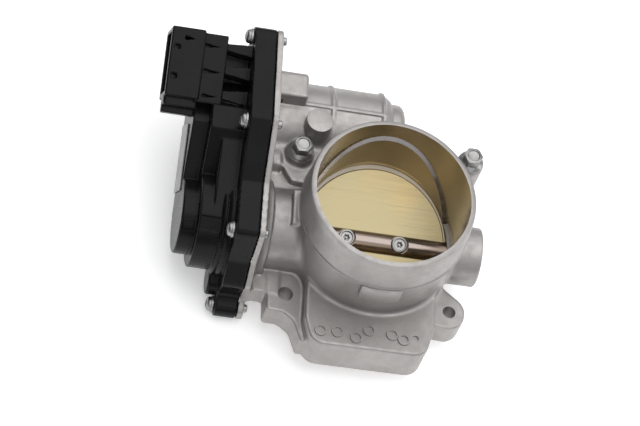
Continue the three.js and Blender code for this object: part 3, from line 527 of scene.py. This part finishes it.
def plate_metal():
    s = Shader("satin_plate", metallic=0.95)
    lines = s.noise(18, 4, stretch=(1, 60, 60), roughness=0.65)
    base = s.blend(s.ramp(lines, 0.3, 0.7, 0, 1), (0.31, 0.262, 0.148), (0.41, 0.35, 0.21))
    patch = s.ramp(s.noise(26, 1), 0.52, 0.68, 0, 0.5)
    s.colour(s.blend(patch, base, (0.47, 0.33, 0.145)))
    s.rough(lines, 0.3, 0.44)
    return s.bump(lines, 0.02, 0.35).material


def shaft_metal():
    s = Shader("ground_steel", metallic=1.0)
    rings = s.noise(30, 3, stretch=(1, 30, 30))
    s.colour(s.blend(s.ramp(rings, 0.3, 0.7, 0, 1), (0.26, 0.215, 0.19), (0.32, 0.27, 0.242)))
    s.rough(rings, 0.14, 0.26)
    return s.bump(rings, 0.01, 0.3).material


def zinc_metal():
    s = Shader("zinc_plated_steel", metallic=1.0)
    cloud = s.noise(420, 3)
    s.colour(s.blend(s.ramp(cloud, 0.35, 0.65, 0, 1), (0.27, 0.265, 0.26), (0.38, 0.375, 0.37)))
    s.rough(cloud, 0.28, 0.44)
    return s.bump(s.noise(1400, 2), 0.03, 0.4).material


def moulded_plastic(name, dark, light, low, high, grain=0.03, shine=0.5):
    s = Shader(name)
    s.shader.inputs["Specular IOR Level"].default_value = shine
    s.colour(s.blend(s.ramp(s.noise(120, 3), 0.35, 0.65, 0, 1), dark, light))
    s.rough(s.noise(900, 2), low, high)
    return s.bump(s.noise(2200, 2), grain, 0.5).material


def spun_metal(name, dark, light, low, high):
    s = Shader(name, metallic=1.0)
    fine = s.noise(700, 3)
    s.colour(s.blend(s.ramp(fine, 0.35, 0.65, 0, 1), dark, light))
    return s.rough(fine, low, high).bump(fine, 0.01, 0.3).material


CAST = cast_metal()
MACHINED = machined_metal()
BORE = bore_metal()
PLATE = plate_metal()
SHAFT = shaft_metal()
ZINC = zinc_metal()
BLACK = moulded_plastic(
    "black_plastic", (0.005, 0.005, 0.0055), (0.0068, 0.0068, 0.0074), 0.24, 0.29, grain=0.003, shine=0.13,
)
NYLON = moulded_plastic("gear_plastic", (0.66, 0.62, 0.5), (0.74, 0.7, 0.58), 0.4, 0.5)
RUBBER = moulded_plastic("black_rubber", (0.01, 0.01, 0.01), (0.02, 0.02, 0.02), 0.6, 0.75, 0.05)
BOARD = moulded_plastic("board_green", (0.03, 0.12, 0.05), (0.05, 0.18, 0.08), 0.3, 0.42)
MAGNET = moulded_plastic("magnet_grey", (0.05, 0.05, 0.055), (0.08, 0.08, 0.085), 0.5, 0.65)
LABEL = moulded_plastic("label_grey", (0.3, 0.3, 0.295), (0.42, 0.42, 0.41), 0.42, 0.55)
SPRING = spun_metal("spring_steel", (0.34, 0.33, 0.31), (0.44, 0.43, 0.41), 0.3, 0.42)
TIN = spun_metal("terminal_tin", (0.68, 0.66, 0.6), (0.78, 0.76, 0.7), 0.22, 0.34)


# ---------------------------------------------------------------- casting
BAND_PROFILE = [
    (0, BAND_Z), (39.9, BAND_Z), (40.3, BAND_Z + 0.3), (40.3, BAND_Z + 0.6), (39.75, BAND_Z + 1.1),
    (39.3, 60), (38.8, 64.9), (38.5, 65.6), (37.7, INLET_HEIGHT), (0, INLET_HEIGHT),
]
LEFT_EAR = [
    (-48, -12, 0), (-47.4, -40, 2), (-40, -40, 4), (-34.5, -44, 5), (-30.6, -54.5, 1.5),
    (-20, -50, 0), (-20, -12, 0),
]
RIGHT_EAR = [(20, -16, 0), (34, -14, 2), (47.3, -24, 8), (46, -37.5, 8), (31, -36.5, 2), (20, -40, 0)]
MOTOR_LUG = [(54.8, 30, 0), (69.5, 30, 0), (69.5, 50, 4), (54.8, 50, 1.5)]
MOTOR_PROFILE = [
    (0, JOINT_X), (MOTOR_CASE_R, JOINT_X), (MOTOR_CASE_R, -1), (20.6, 1.6), (19, 4),
    (17.6, 4.4), (17.6, 8.5), (16.6, 10.2), (15, 11), (0, 11),
]
WEBS = [((-45, 20), (-20, 44), 18), ((20, 22), (38, 42), 30), ((-56, -6), (-30, 6), 8)]
BLOCK = [(-30, -20, 0), (-30.3, -45, 3), (-27, -58, 8), (27, -57.5, 8), (31, -42, 5), (31, -20, 0)]
PLATEAU = [(-52, 46, 2), (-52, 27.4, 2), (-46.4, 26.4, 2), (-41.9, 19.3, 2), (-25, 17, 0), (-25, 46, 0)]


def box_z(low, high, bottom, top, rounding=0.0):
    """A box given by its (x, y) corners, between two heights."""
    (a, b), (c, d) = low, high
    return Prism("z", [(a, b), (c, b), (c, d), (a, d)], bottom, top, rounding)


def casting_field():
    field = Field((-60.5, -60, -10), (53, 80, 73), 0.5)
    my, mz = MOTOR
    field.add(rod("z", (0, 0), TUBE_R, 0, 60))
    field.add(rod("x", (0, SHAFT_Z), NECK_R, JOINT_X, 0), 4)
    field.add(rod("x", (0, SHAFT_Z), COLLAR_R, JOINT_X, COLLAR_X, 0.5), 1)
    field.cut(box_z((-62, -30), (-50, 30), -12, 0))
    field.add(rod("x", (0, SHAFT_Z), BOSS_R, 0, BOSS_END_X, 0.6), 3)
    field.add(Prism("z", outline(BLOCK), 0, BLOCK_TOP, 1.2), 2.5)
    field.add(Prism("z", outline(LEFT_EAR), 0, EAR_TOP, 0.9), 1.6)
    field.add(Prism("z", outline(RIGHT_EAR), 0, EAR_TOP, 0.9), 2.5)
    field.add(Prism("x", outline(CASE), JOINT_X, JOINT_X + 3, 0.3), 6)
    field.add(Turned("x", MOTOR, MOTOR_PROFILE), 2.5)
    field.add(Prism("x", outline(MOTOR_LUG), JOINT_X, -38.6, 1.6), 1)
    field.add(block_x((my - 0.8, mz + 15), (my + 0.8, mz + 22.4), JOINT_X, 1, 0.5), 1)
    for x in (-25, -0.5):
        field.add(rod("x", MOTOR, MOTOR_CASE_R + 0.8, x - 0.9, x + 0.9, 0.4), 1)
    field.add(rod("x", MOTOR_SCREWS[1], 4, JOINT_X, -48, 0.5), 1.5)
    field.add(Prism("z", outline(PLATEAU), 8, PLATEAU_TOP, 0.7), 1.6)
    for x, y, seat in FLANGE_BOLTS.values():
        field.add(rod("z", (x, y), BOLT_BOSS_R, 0, seat - 0.3, 0.5), 2)
    field.add(Turned("z", ROUND_BOSS, [(0, 30), (6.2, 30), (6.2, 44.8), (0, 44.8)]), 1)
    field.add(box_z((-41.8, -7.5), (-30, 10.5), 24, 40, 0.8), 0.8)
    field.add(block_x((-31, 3), (-12, EAR_TOP), JOINT_X, -42, 0.8), 1.6)
    field.add(block_x((14, 8), (29, PLATEAU_TOP - 4), JOINT_X, -34, 0.8), 1)
    field.add(block_x((-NECK_R - 0.1, 8), (-12, SHAFT_Z), JOINT_X, -30), 0.5)
    field.add(block_x((-COLLAR_R - 0.1, 8), (-12, SHAFT_Z), JOINT_X, COLLAR_X), 0.5)
    field.add(rod("x", GEAR_CENTRE, 5.5, JOINT_X, -47, 0.8), 1.5)
    for low, high, top in WEBS:
        field.add(box_z(low, high, 0, top, 0.6), 3)
    return field


def hole(axis, centre, radius, start, end, sides=48):
    return turned("hole", axis, centre, [(0, start), (radius, start), (radius, end), (0, end)], sides)


def bore_tool():
    counterbore = hole("z", (0, 0), COUNTERBORE_R, 25, 70, 192)
    slope = math.atan(LEDGE_SLOPE)
    half_space = prism("above_ledge", "z", [(-100, -100), (100, -100), (100, 100), (-100, 100)], 0, 120)
    half_space.data.transform(Matrix.Translation((0, 0, LEDGE_RISE)) @ Matrix.Rotation(slope, 4, "X"))
    boolean(counterbore, half_space, "INTERSECT")
    straight = hole("z", (0, 0), BORE_R, -3, 71, 192)
    return boolean(straight, counterbore, "UNION")


def build_casting():
    piece = casting_field().surface("casting")
    boss = turned("boss", "z", ROUND_BOSS, [
        (0, 34), (6.3, 34), (6.4, 34.5), (6.4, 45.5), (6.25, 45.85), (5.9, 46), (0, 46),
    ])
    boolean(piece, boss, "UNION")
    front = [(PAD_R * math.sin(t), -PAD_R * math.cos(t)) for t in np.linspace(-0.232, 0.232, 12)]
    pad = prism("pad", "z", [*front, (PAD_HALF, -36), (-PAD_HALF, -36)], PAD_LOW, BAND_Z + 0.1)
    boolean(piece, bevelled(pad, 0.25, 2), "UNION")
    boolean(piece, turned("band", "z", (0, 0), BAND_PROFILE, 192), "UNION")
    boolean(piece, bore_tool())
    spaces = [
        turned("shaft_space", "x", (0, SHAFT_Z), [
            (0, -60), (15, -60), (15, -46), (8.3, -46), (8.3, -36.4), (5.3, -36.4),
            (5.3, 36.4), (8.3, 36.4), (8.3, 47), (8.9, 47), (9.2, 47.4), (9.2, 53), (0, 53),
        ]),
        turned("motor_space", "x", MOTOR, [
            (0, -60), (18.3, -60), (18.3, 0.5), (6.5, 0.5), (6.5, 8), (0, 8),
        ]),
        hole("x", GEAR_CENTRE, SCREW_HOLE_R, -60, -49.7),
        hole("z", (21.9, -48.7), 1.6, 20.2, 23, 32),
    ]
    spaces += [hole("z", (x, y), r, -2, 16) for x, y, r in EAR_HOLES]
    for x, y, seat in FLANGE_BOLTS.values():
        spaces.append(hole("z", (x, y), BOLT_SHANK_R + 0.3, seat - 19, seat + 1))
    spaces += [hole("x", at, SCREW_HOLE_R, -60, -54) for at in COVER_SCREWS]
    spaces += [hole("x", at, 2, -60, -50, 32) for at in MOTOR_SCREWS]
    boolean(piece, merged("spaces", *spaces))
    return boolean(piece, merged("marks", *[raised_ring(at) for at in MARKS]), "UNION")


def raised_ring(at):
    """A low raised circle on top of the base block."""
    ring = turned("ring", "z", at, [(0, 20.6), (3.0, 20.6), (2.8, 21.7), (0, 21.7)], 40)
    return boolean(ring, turned("middle", "z", at, [(0, 20), (2.2, 20), (2.1, 22), (0, 22)], 40))


def paint_casting(piece):
    """Gives the turned surfaces their own materials: 0 as cast, 1 machined, 2 bore."""
    mesh = piece.data
    count = len(mesh.polygons)
    centre = np.zeros(count * 3)
    normal = np.zeros(count * 3)
    mesh.polygons.foreach_get("center", centre)
    mesh.polygons.foreach_get("normal", normal)
    centre, normal = centre.reshape(-1, 3) / MM, normal.reshape(-1, 3)
    radius = np.hypot(centre[:, 0], centre[:, 1])
    which = np.zeros(count, np.int32)
    x, z = centre[:, 0], centre[:, 2]
    in_bore = (radius < 36.45) & (np.hypot(normal[:, 0], normal[:, 1]) > 0.9) & (z > -1) & (z < 67)
    slope = math.atan(LEDGE_SLOPE)
    off_ledge = np.hypot(normal[:, 1] + math.sin(slope), normal[:, 2] - math.cos(slope))
    ledge = (off_ledge < 0.02) & (radius < COUNTERBORE_R + 0.2)
    faces = (x < JOINT_X + 0.2) | (z < 0.1) & (normal[:, 2] < -0.9)
    which[faces | ledge] = 1
    which[in_bore] = 2
    mesh.polygons.foreach_set("material_index", which)


casting = build_casting()
finish(casting, "housing", ["throttle_housing"], [CAST, MACHINED, BORE])
paint_casting(casting)


# ---------------------------------------------------------------- gear cover
WHEEL_STEP = [(0, SHAFT_Z, 23), (*GEAR_CENTRE, 25.5), (44, 36, 19), (*MOTOR, 12)]
MIDDLE_STEP = [(*GEAR_CENTRE, 20.4), (44, 36, 19), (*MOTOR, 12)]
MIDDLE_HOLLOW = [(*GEAR_CENTRE, 17.9), (44, 36, 16.5)]
MIDDLE_RIDGE = [(8.2, 33.1, 0), (30, 30, 0), (46, 50, 0), (38.5, 58, 0), (27.2, 57, 0.8)]
OUTER_RIDGE = [(7.2, 3.1, 0), (57, 26.2, 14), (57, 51, 12), (33, 51, 2), (17, 34.9, 1.5), (6, 24, 0)]
MIDDLE_DOME_R, OUTER_DOME_R = 23.0, 17.6
NOTCHES = [
    (MIDDLE_DOME_R, 117, 133.5, MID_X + 0.6, -74.1),
    (OUTER_DOME_R, 126, 141, DOME_X + 1.0, -86.1),
]
CORNER = (69.8, 70.7)
CONNECTOR_TILT = math.radians(23.6)
OPEN_X, SHROUD_X, STEP_X, FLOOR_X = -107.6, -91.8, -81.0, -93.5
WIDTH, DEPTH = 32.5, 19.0
GUSSETS = [(4.5, 7.6, 3.6, 9.5), (15.2, 18.5, 14.2, 20.5), (26.7, 30.4, 25.4, 32.4)]
POCKETS = [
    (4.9, -101.2, -96.2, 1.0), (6.9, -91.6, -84.6, 0.85),
    (18.8, -90.8, -83.2, 1.1), (30.2, -90.3, -83.6, 0.85),
]
BEAD = [
    (0, -74.6), (23.4, -74.6), (24.7, -74.2), (25.2, -73.2), (24.8, -72.2),
    (25.4, -71.6), (26, -70.6), (26, -67), (0, -67),
]


def connector_point(across, down):
    c, s = math.cos(CONNECTOR_TILT), math.sin(CONNECTOR_TILT)
    return CORNER[0] - across * c + down * s, CORNER[1] - across * s - down * c


def connector_bar(low, high, start, end, rounding=0.0):
    (a0, d0), (a1, d1) = low, high
    corners = [connector_point(a, d) for a, d in ((a0, d0), (a1, d0), (a1, d1), (a0, d1))]
    return Prism("x", corners, start, end, rounding)


class Panel:
    """A shape on the connector's top face: an outline in (across, x), between two depths below the face."""

    def __init__(self, points, depth0, depth1, rounding=0.2):
        self.points = np.array(points, float)
        self.middle, self.half, self.rounding = (depth0 + depth1) / 2, (depth1 - depth0) / 2, rounding
        sides = (self.points[:, 0].min(), self.points[:, 0].max())
        corners = np.array([connector_point(a, d) for a in sides for d in (depth0, depth1)])
        self.low = [self.points[:, 1].min(), *corners.min(0)]
        self.high = [self.points[:, 1].max(), *corners.max(0)]

    def distance(self, x, y, z):
        c, s = math.cos(CONNECTOR_TILT), math.sin(CONNECTOR_TILT)
        dy, dz = y[0, :, :] - CORNER[0], z[0, :, :] - CORNER[1]
        across, down = -dy * c - dz * s, dy * s - dz * c
        flat = layered(self.points, across, x[:, 0, 0], 0)
        return slab(flat, (np.abs(down - self.middle) - self.half)[None], self.rounding)


def cover_field():
    field = Field((-109.5, -41, -11), (-57, 82, 84), 0.42)
    field.add(Prism("x", outline(CASE), RIM_X, COVER_BACK_X, 0.6))
    field.add(Prism("x", belt(WHEEL_STEP), WHEEL_STEP_X, RIM_X + 2, 0.8), 0.5)
    field.add(Prism("x", belt(MIDDLE_STEP), MID_X, RIM_X + 2, 0.8), 0.4)
    field.add(Prism("x", outline(MIDDLE_RIDGE), MID_X, RIM_X + 2, 0.8), 0.4)
    field.add(rod("x", (0, SHAFT_Z), MIDDLE_DOME_R, MID_X, RIM_X + 2, 0.5), 0.3)
    field.add(Turned("x", (0, SHAFT_Z), BEAD), 0.3)
    field.add(Prism("x", outline(OUTER_RIDGE), DOME_X, MID_X + 2, 0.7), 0.3)
    field.add(rod("x", (0, SHAFT_Z), OUTER_DOME_R, DOME_X, MID_X + 2, 0.7), 0.3)
    field.add(rod("x", (-20, 1), 8, -74, RIM_X + 2, 0.8), 0.8)
    for y, z in COVER_SCREWS:
        field.add(rod("x", (y, z), COVER_BOSS_R, RIM_X - 0.4, COVER_BACK_X, 0.2), 0.5)
    field.add(connector_bar((0, 0), (WIDTH, DEPTH), OPEN_X, SHROUD_X, 0.7))
    field.add(connector_bar((WIDTH - 2, 2.5), (WIDTH + 4, 10), OPEN_X, SHROUD_X, 1.4), 0.6)
    field.add(connector_bar((WIDTH - 2, 7), (WIDTH + 7, 11), OPEN_X, SHROUD_X, 0.6), 0.6)
    field.add(connector_bar((1, 1), (WIDTH + 1, DEPTH - 1), SHROUD_X - 2, STEP_X, 0.5))
    field.add(connector_bar((3.9, 11.5), (WIDTH + 1, DEPTH - 2), STEP_X - 2, RIM_X + 1, 0.4))
    for start0, end0, start1, end1 in GUSSETS:
        edge = [(start0, STEP_X - 1), (end0, STEP_X - 1), (end1, RIM_X + 1), (start1, RIM_X + 1)]
        field.add(Panel(edge, 2, 13), 0.3)
    return field


def cover_details(field):
    """Pockets, slots and notches moulded into the connector and the domes."""
    for across, start, end, half in POCKETS:
        field.cut(Panel([(across - half, start), (across + half, start), (across, end)], -2, 3.2, 0.05))
    for across in (9.6, 23.2):
        left, right = across - 1.2, across + 1.2
        field.cut(Panel([(left, -105.8), (right, -105.8), (right, -103.2), (left, -103.2)], -2, 0.7, 0.1))
        wedge = [(across - 1, -105.4), (across + 1, -103.4), (across - 1, -103.4)]
        field.cut(Panel(wedge, -2, 1.7, 0.05))
    for radius, first, last, start, end in NOTCHES:
        angles = np.radians(np.linspace(first, last, 10))
        floor = [((radius - 1) * math.cos(t), SHAFT_Z + (radius - 1) * math.sin(t)) for t in angles]
        above = [((radius + 4) * math.cos(t), SHAFT_Z + (radius + 4) * math.sin(t)) for t in angles[::-1]]
        field.cut(Prism("x", floor + above, start, end, 0.1))
    field.cut(connector_bar((2.2, 2.2), (WIDTH - 2.2, DEPTH - 2.2), OPEN_X - 1, FLOOR_X, 0.5))
    return field


def build_cover():
    piece = cover_details(cover_field()).surface("cover")
    wall = 2.5
    rim = outline(CASE)
    cavity = prism("cavity", "x", inset(rim, 3), RIM_X + wall, -57)
    posts = merged("posts", *[hole("x", at, COVER_BOSS_R, -71, -56) for at in COVER_SCREWS])
    boolean(cavity, posts)
    rooms = [
        prism("wheels", "x", belt(shrunk(WHEEL_STEP, wall)), WHEEL_STEP_X + wall, RIM_X + wall + 1),
        prism("middle", "x", belt(MIDDLE_HOLLOW), MID_X + wall, WHEEL_STEP_X + wall + 1),
        hole("x", (0, SHAFT_Z), MIDDLE_DOME_R - wall, MID_X + wall, WHEEL_STEP_X + wall + 1, 96),
        prism("outer", "x", inset(outline(OUTER_RIDGE), wall), DOME_X + wall, MID_X + wall + 1),
        hole("x", (0, SHAFT_Z), OUTER_DOME_R - wall, DOME_X + wall, MID_X + wall + 1, 96),
    ]
    for room in rooms:
        boolean(cavity, room, "UNION")
    post = hole("x", GEAR_CENTRE, 4.5, -91.5, -76.7)
    boolean(post, hole("x", GEAR_CENTRE, SCREW_HOLE_R, -80.3, -60))
    boolean(cavity, post)
    boolean(piece, cavity)
    screw_holes = [hole("x", at, SCREW_HOLE_R, -80, -50) for at in COVER_SCREWS]
    return boolean(piece, merged("screw_holes", *screw_holes))


cover = build_cover()
finish(cover, "housing", ["gear_cover"], [BLACK])


# ---------------------------------------------------------------- plate, shaft and screws
def recess_star(centre, axis, radius, start, end):
    """A six-lobed driver recess."""
    points = []
    for t in np.arange(72) * 2 * math.pi / 72:
        r = radius * (1 + 0.14 * math.cos(6 * t))
        points.append((centre[0] + r * math.cos(t), centre[1] + r * math.sin(t)))
    return prism("recess", axis, points, start, end)


def build_plate():
    steps = 200
    rings = [(0.985, -0.8), (1, -0.35), (1, 0.35), (0.985, 0.8)]
    built = bmesh.new()
    angles = np.arange(steps) * 2 * math.pi / steps
    verts = []
    for scale, z in rings:
        a, b = PLATE_HALF_X * scale, PLATE_HALF_Y * scale
        verts.append([built.verts.new((a * math.cos(t), b * math.sin(t), z)) for t in angles])
    built.faces.new(verts[0])
    built.faces.new(verts[-1])
    for one, two in zip(verts, verts[1:]):
        for i in range(steps):
            j = (i + 1) % steps
            built.faces.new((one[i], one[j], two[j], two[i]))
    piece = from_bmesh("plate", built)
    boolean(piece, merged("screw_ways", *[hole("z", (x, 0), 2.2, -3, 3) for x in PLATE_SCREWS_X]))
    return tilted(piece)


def build_shaft():
    piece = turned("shaft", "x", (0, 0), [
        (0, -73), (3.7, -73), (4, -72.7), (4, -59.5), (4.8, -59.5), (5, -59.2),
        (5, 45.8), (4.6, 46.2), (0, 46.2),
    ])
    boolean(piece, prism("slot", "z", [(-35, -8), (35, -8), (35, 8), (-35, 8)], -1.1, 1.1))
    ways = []
    for x in PLATE_SCREWS_X:
        profile = [(0, -8), (4, -8), (4, -4.2), (2.2, -4.2), (2.2, 3.1), (4.3, 3.1), (4.3, 8), (0, 8)]
        ways.append(turned("way", "z", (x, 0), profile))
    boolean(piece, merged("ways", *ways))
    return tilted(piece)


def build_plate_screw(name, x):
    piece = turned(name, "z", (x, 0), [
        (0, -4.6), (1.6, -4.6), (1.9, -4.3), (1.9, 3.4), (3.8, 3.4), (4, 3.6), (4, 4.3), (3.75, 4.8),
        (3.4, 5),
        (3.0, 5), (2.75, 4.8), (2.65, 4.15), (1.5, 4.1), (0, 4.1),
    ])
    boolean(piece, recess_star((x, 0), "z", 1.5, 1.5, 6))
    boolean(piece, hole("z", (x, 0), 0.45, 1.4, 3.9, 24), "UNION")
    return tilted(piece)


finish(build_plate(), "throttle", ["throttle_plate"], [PLATE])
finish(build_shaft(), "throttle", ["throttle_shaft"], [SHAFT])
for number, place in enumerate(PLATE_SCREWS_X, 1):
    screw = build_plate_screw(f"valve_screw_{number}", place)
    finish(screw, "throttle", [f"plate_screw_{number}"], [ZINC])


def build_cover_screw(name, y, z):
    washer = RIM_X - 0.4 - 0.3
    piece = turned(name, "x", (y, z), [
        (0, washer - 3.2), (1.6, washer - 3.2), (2.3, washer - 3), (2.9, washer - 2.6), (3.3, washer - 1.9),
        (3.35, washer - 1), (3.75, washer - 0.95), (3.9, washer - 0.8), (3.9, washer - 0.1), (3.8, washer),
        (SCREW_R, washer), (SCREW_R, -53.9), (1.5, -53.4), (0, -53.4),
    ], 64)
    return boolean(piece, recess_star((y, z), "x", 1.65, washer - 5, washer - 1.2))


for number, (y, z) in enumerate(COVER_SCREWS, 1):
    screw = build_cover_screw(f"case_screw_{number}", y, z)
    finish(screw, "housing", [f"cover_screw_{number}"], [ZINC])


def build_flange_bolt(name, x, y, seat):
    flange = turned(name, "z", (x, y), [
        (0, seat - 18), (2.6, seat - 18), (BOLT_SHANK_R, seat - 17.6), (BOLT_SHANK_R, seat), (5.85, seat),
        (6, seat + 0.15), (6, seat + 0.8), (5.8, seat + 1), (4.5, seat + 1.9), (4.2, seat + 2.1),
        (0, seat + 2.1),
    ])
    radius = 8 / math.sqrt(3)
    angles = np.arange(6) * math.pi / 3
    hexagon = [(x + radius * math.cos(t), y + radius * math.sin(t)) for t in angles]
    head = prism("head", "z", hexagon, seat + 1.5, seat + 6.6)
    bevelled(head, 0.18, 2)
    crown = turned("crown", "z", (x, y), [
        (0, seat + 1), (6.2, seat + 1), (6.2, seat + 4.9), (5.2, seat + 5.6), (4.2, seat + 6.2),
        (3.5, seat + 6.55), (3.1, seat + 6.6), (2.85, seat + 6.45), (2.65, seat + 6.1), (2, seat + 6),
        (0, seat + 5.95),
    ])
    boolean(head, crown, "INTERSECT")
    return boolean(flange, head, "UNION")


for node, (x, y, seat) in FLANGE_BOLTS.items():
    bolt = build_flange_bolt(node.replace("flange_bolt", "hexagon_bolt"), x, y, seat)
    finish(bolt, "housing", [node], [ZINC])


# ---------------------------------------------------------------- carried-over nodes
LOOKS = {
    "black_rubber": RUBBER, "gear_plastic": NYLON, "shaft_steel": SHAFT, "zinc_steel": ZINC,
    "spring_steel": SPRING, "terminal_tin": TIN, "board_green": BOARD, "magnet_grey": MAGNET,
    "label_grey": LABEL,
}
for entry in frame["record"]["subparts"]:
    node = NODES[entry["node"]]
    if not node.hide_render:
        node.data.materials.clear()
        node.data.materials.append(LOOKS[entry["material_slot"]])


# ---------------------------------------------------------------- camera, floor and lights
RIGHT = Vector((0.975884, 0.035580, 0.215371))
UP = Vector((-0.140266, 0.858193, 0.493791))
BACK = -Vector((0.167261, 0.512092, -0.842488))
camera = bpy.data.objects.new("camera", bpy.data.cameras.new("camera"))
bpy.context.scene.collection.objects.link(camera)
camera.data.sensor_width = 36
camera.data.lens = 197.67
camera.data.clip_start = 0.1
camera.data.clip_end = 20
turn = Matrix((RIGHT, UP, BACK)).transposed().to_4x4()
camera.matrix_world = Matrix.Translation(Vector((-0.3001, -0.8301, 1.4049))) @ turn
bpy.context.scene.camera = camera

floor_z = cad_box[0].z - 0.0005


def build_floor():
    mesh = bpy.data.meshes.new("floor")
    half = 2.2
    corners = [(x * half, y * half, floor_z) for x, y in ((-1, -1), (1, -1), (1, 1), (-1, 1))]
    mesh.from_pydata(corners, [], [(0, 1, 2, 3)])
    piece = link("floor", mesh)
    s = Shader("pale_floor")
    s.colour(s.blend(s.noise(3, 2), (0.93, 0.93, 0.93), (0.95, 0.95, 0.95)))
    s.shader.inputs["Emission Color"].default_value = (1, 1, 1, 1)
    s.shader.inputs["Emission Strength"].default_value = 0.38
    s.shader.inputs["Roughness"].default_value = 0.9
    s.shader.inputs["Specular IOR Level"].default_value = 0.1
    mesh.materials.append(s.material)


build_floor()


def area_light(name, place, size, power, colour=(1, 1, 1), target=(0, 0, 0.02)):
    lamp = bpy.data.objects.new(name, bpy.data.lights.new(name, "AREA"))
    lamp.data.shape = "RECTANGLE"
    lamp.data.size, lamp.data.size_y = size
    lamp.data.energy = power
    lamp.data.color = colour
    lamp.location = place
    lamp.rotation_euler = (Vector(target) - Vector(place)).to_track_quat("-Z", "Y").to_euler()
    bpy.context.scene.collection.objects.link(lamp)


area_light("key_above", (-0.2, 1.5, 1.7), (2.4, 1.6), 14)
area_light("fill_front", (-0.3, -1.8, 1.6), (2.0, 1.4), 5.5)
area_light("side_right", (1.9, 0.2, 1.0), (1.0, 1.4), 9)
area_light("top", (0.2, 0.0, 2.4), (2.2, 2.2), 24)


def studio_world():
    """A soft surround: bright above and to the right, dim low down on the left."""
    world = bpy.data.worlds.new("studio")
    bpy.context.scene.world = world
    world.use_nodes = True
    tree = world.node_tree
    background = tree.nodes["Background"]
    background.inputs["Color"].default_value = (0.92, 0.93, 0.95, 1)
    place = tree.nodes.new("ShaderNodeTexCoord")
    split = tree.nodes.new("ShaderNodeSeparateXYZ")
    tree.links.new(place.outputs["Generated"], split.inputs[0])
    factors = []
    for axis, low, high, dim, bright in (("Z", -0.05, 0.75, 0.2, 0.75), ("X", -0.9, 0.3, 0.2, 1.0)):
        ramp = tree.nodes.new("ShaderNodeMapRange")
        for socket, value in zip(("From Min", "From Max", "To Min", "To Max"), (low, high, dim, bright)):
            ramp.inputs[socket].default_value = value
        tree.links.new(split.outputs[axis], ramp.inputs["Value"])
        factors.append(ramp.outputs["Result"])
    product = tree.nodes.new("ShaderNodeMath")
    product.operation = "MULTIPLY"
    for socket, factor in zip(product.inputs, factors):
        tree.links.new(factor, socket)
    tree.links.new(product.outputs[0], background.inputs["Strength"])


studio_world()
bpy.context.scene.view_settings.view_transform = "Standard"
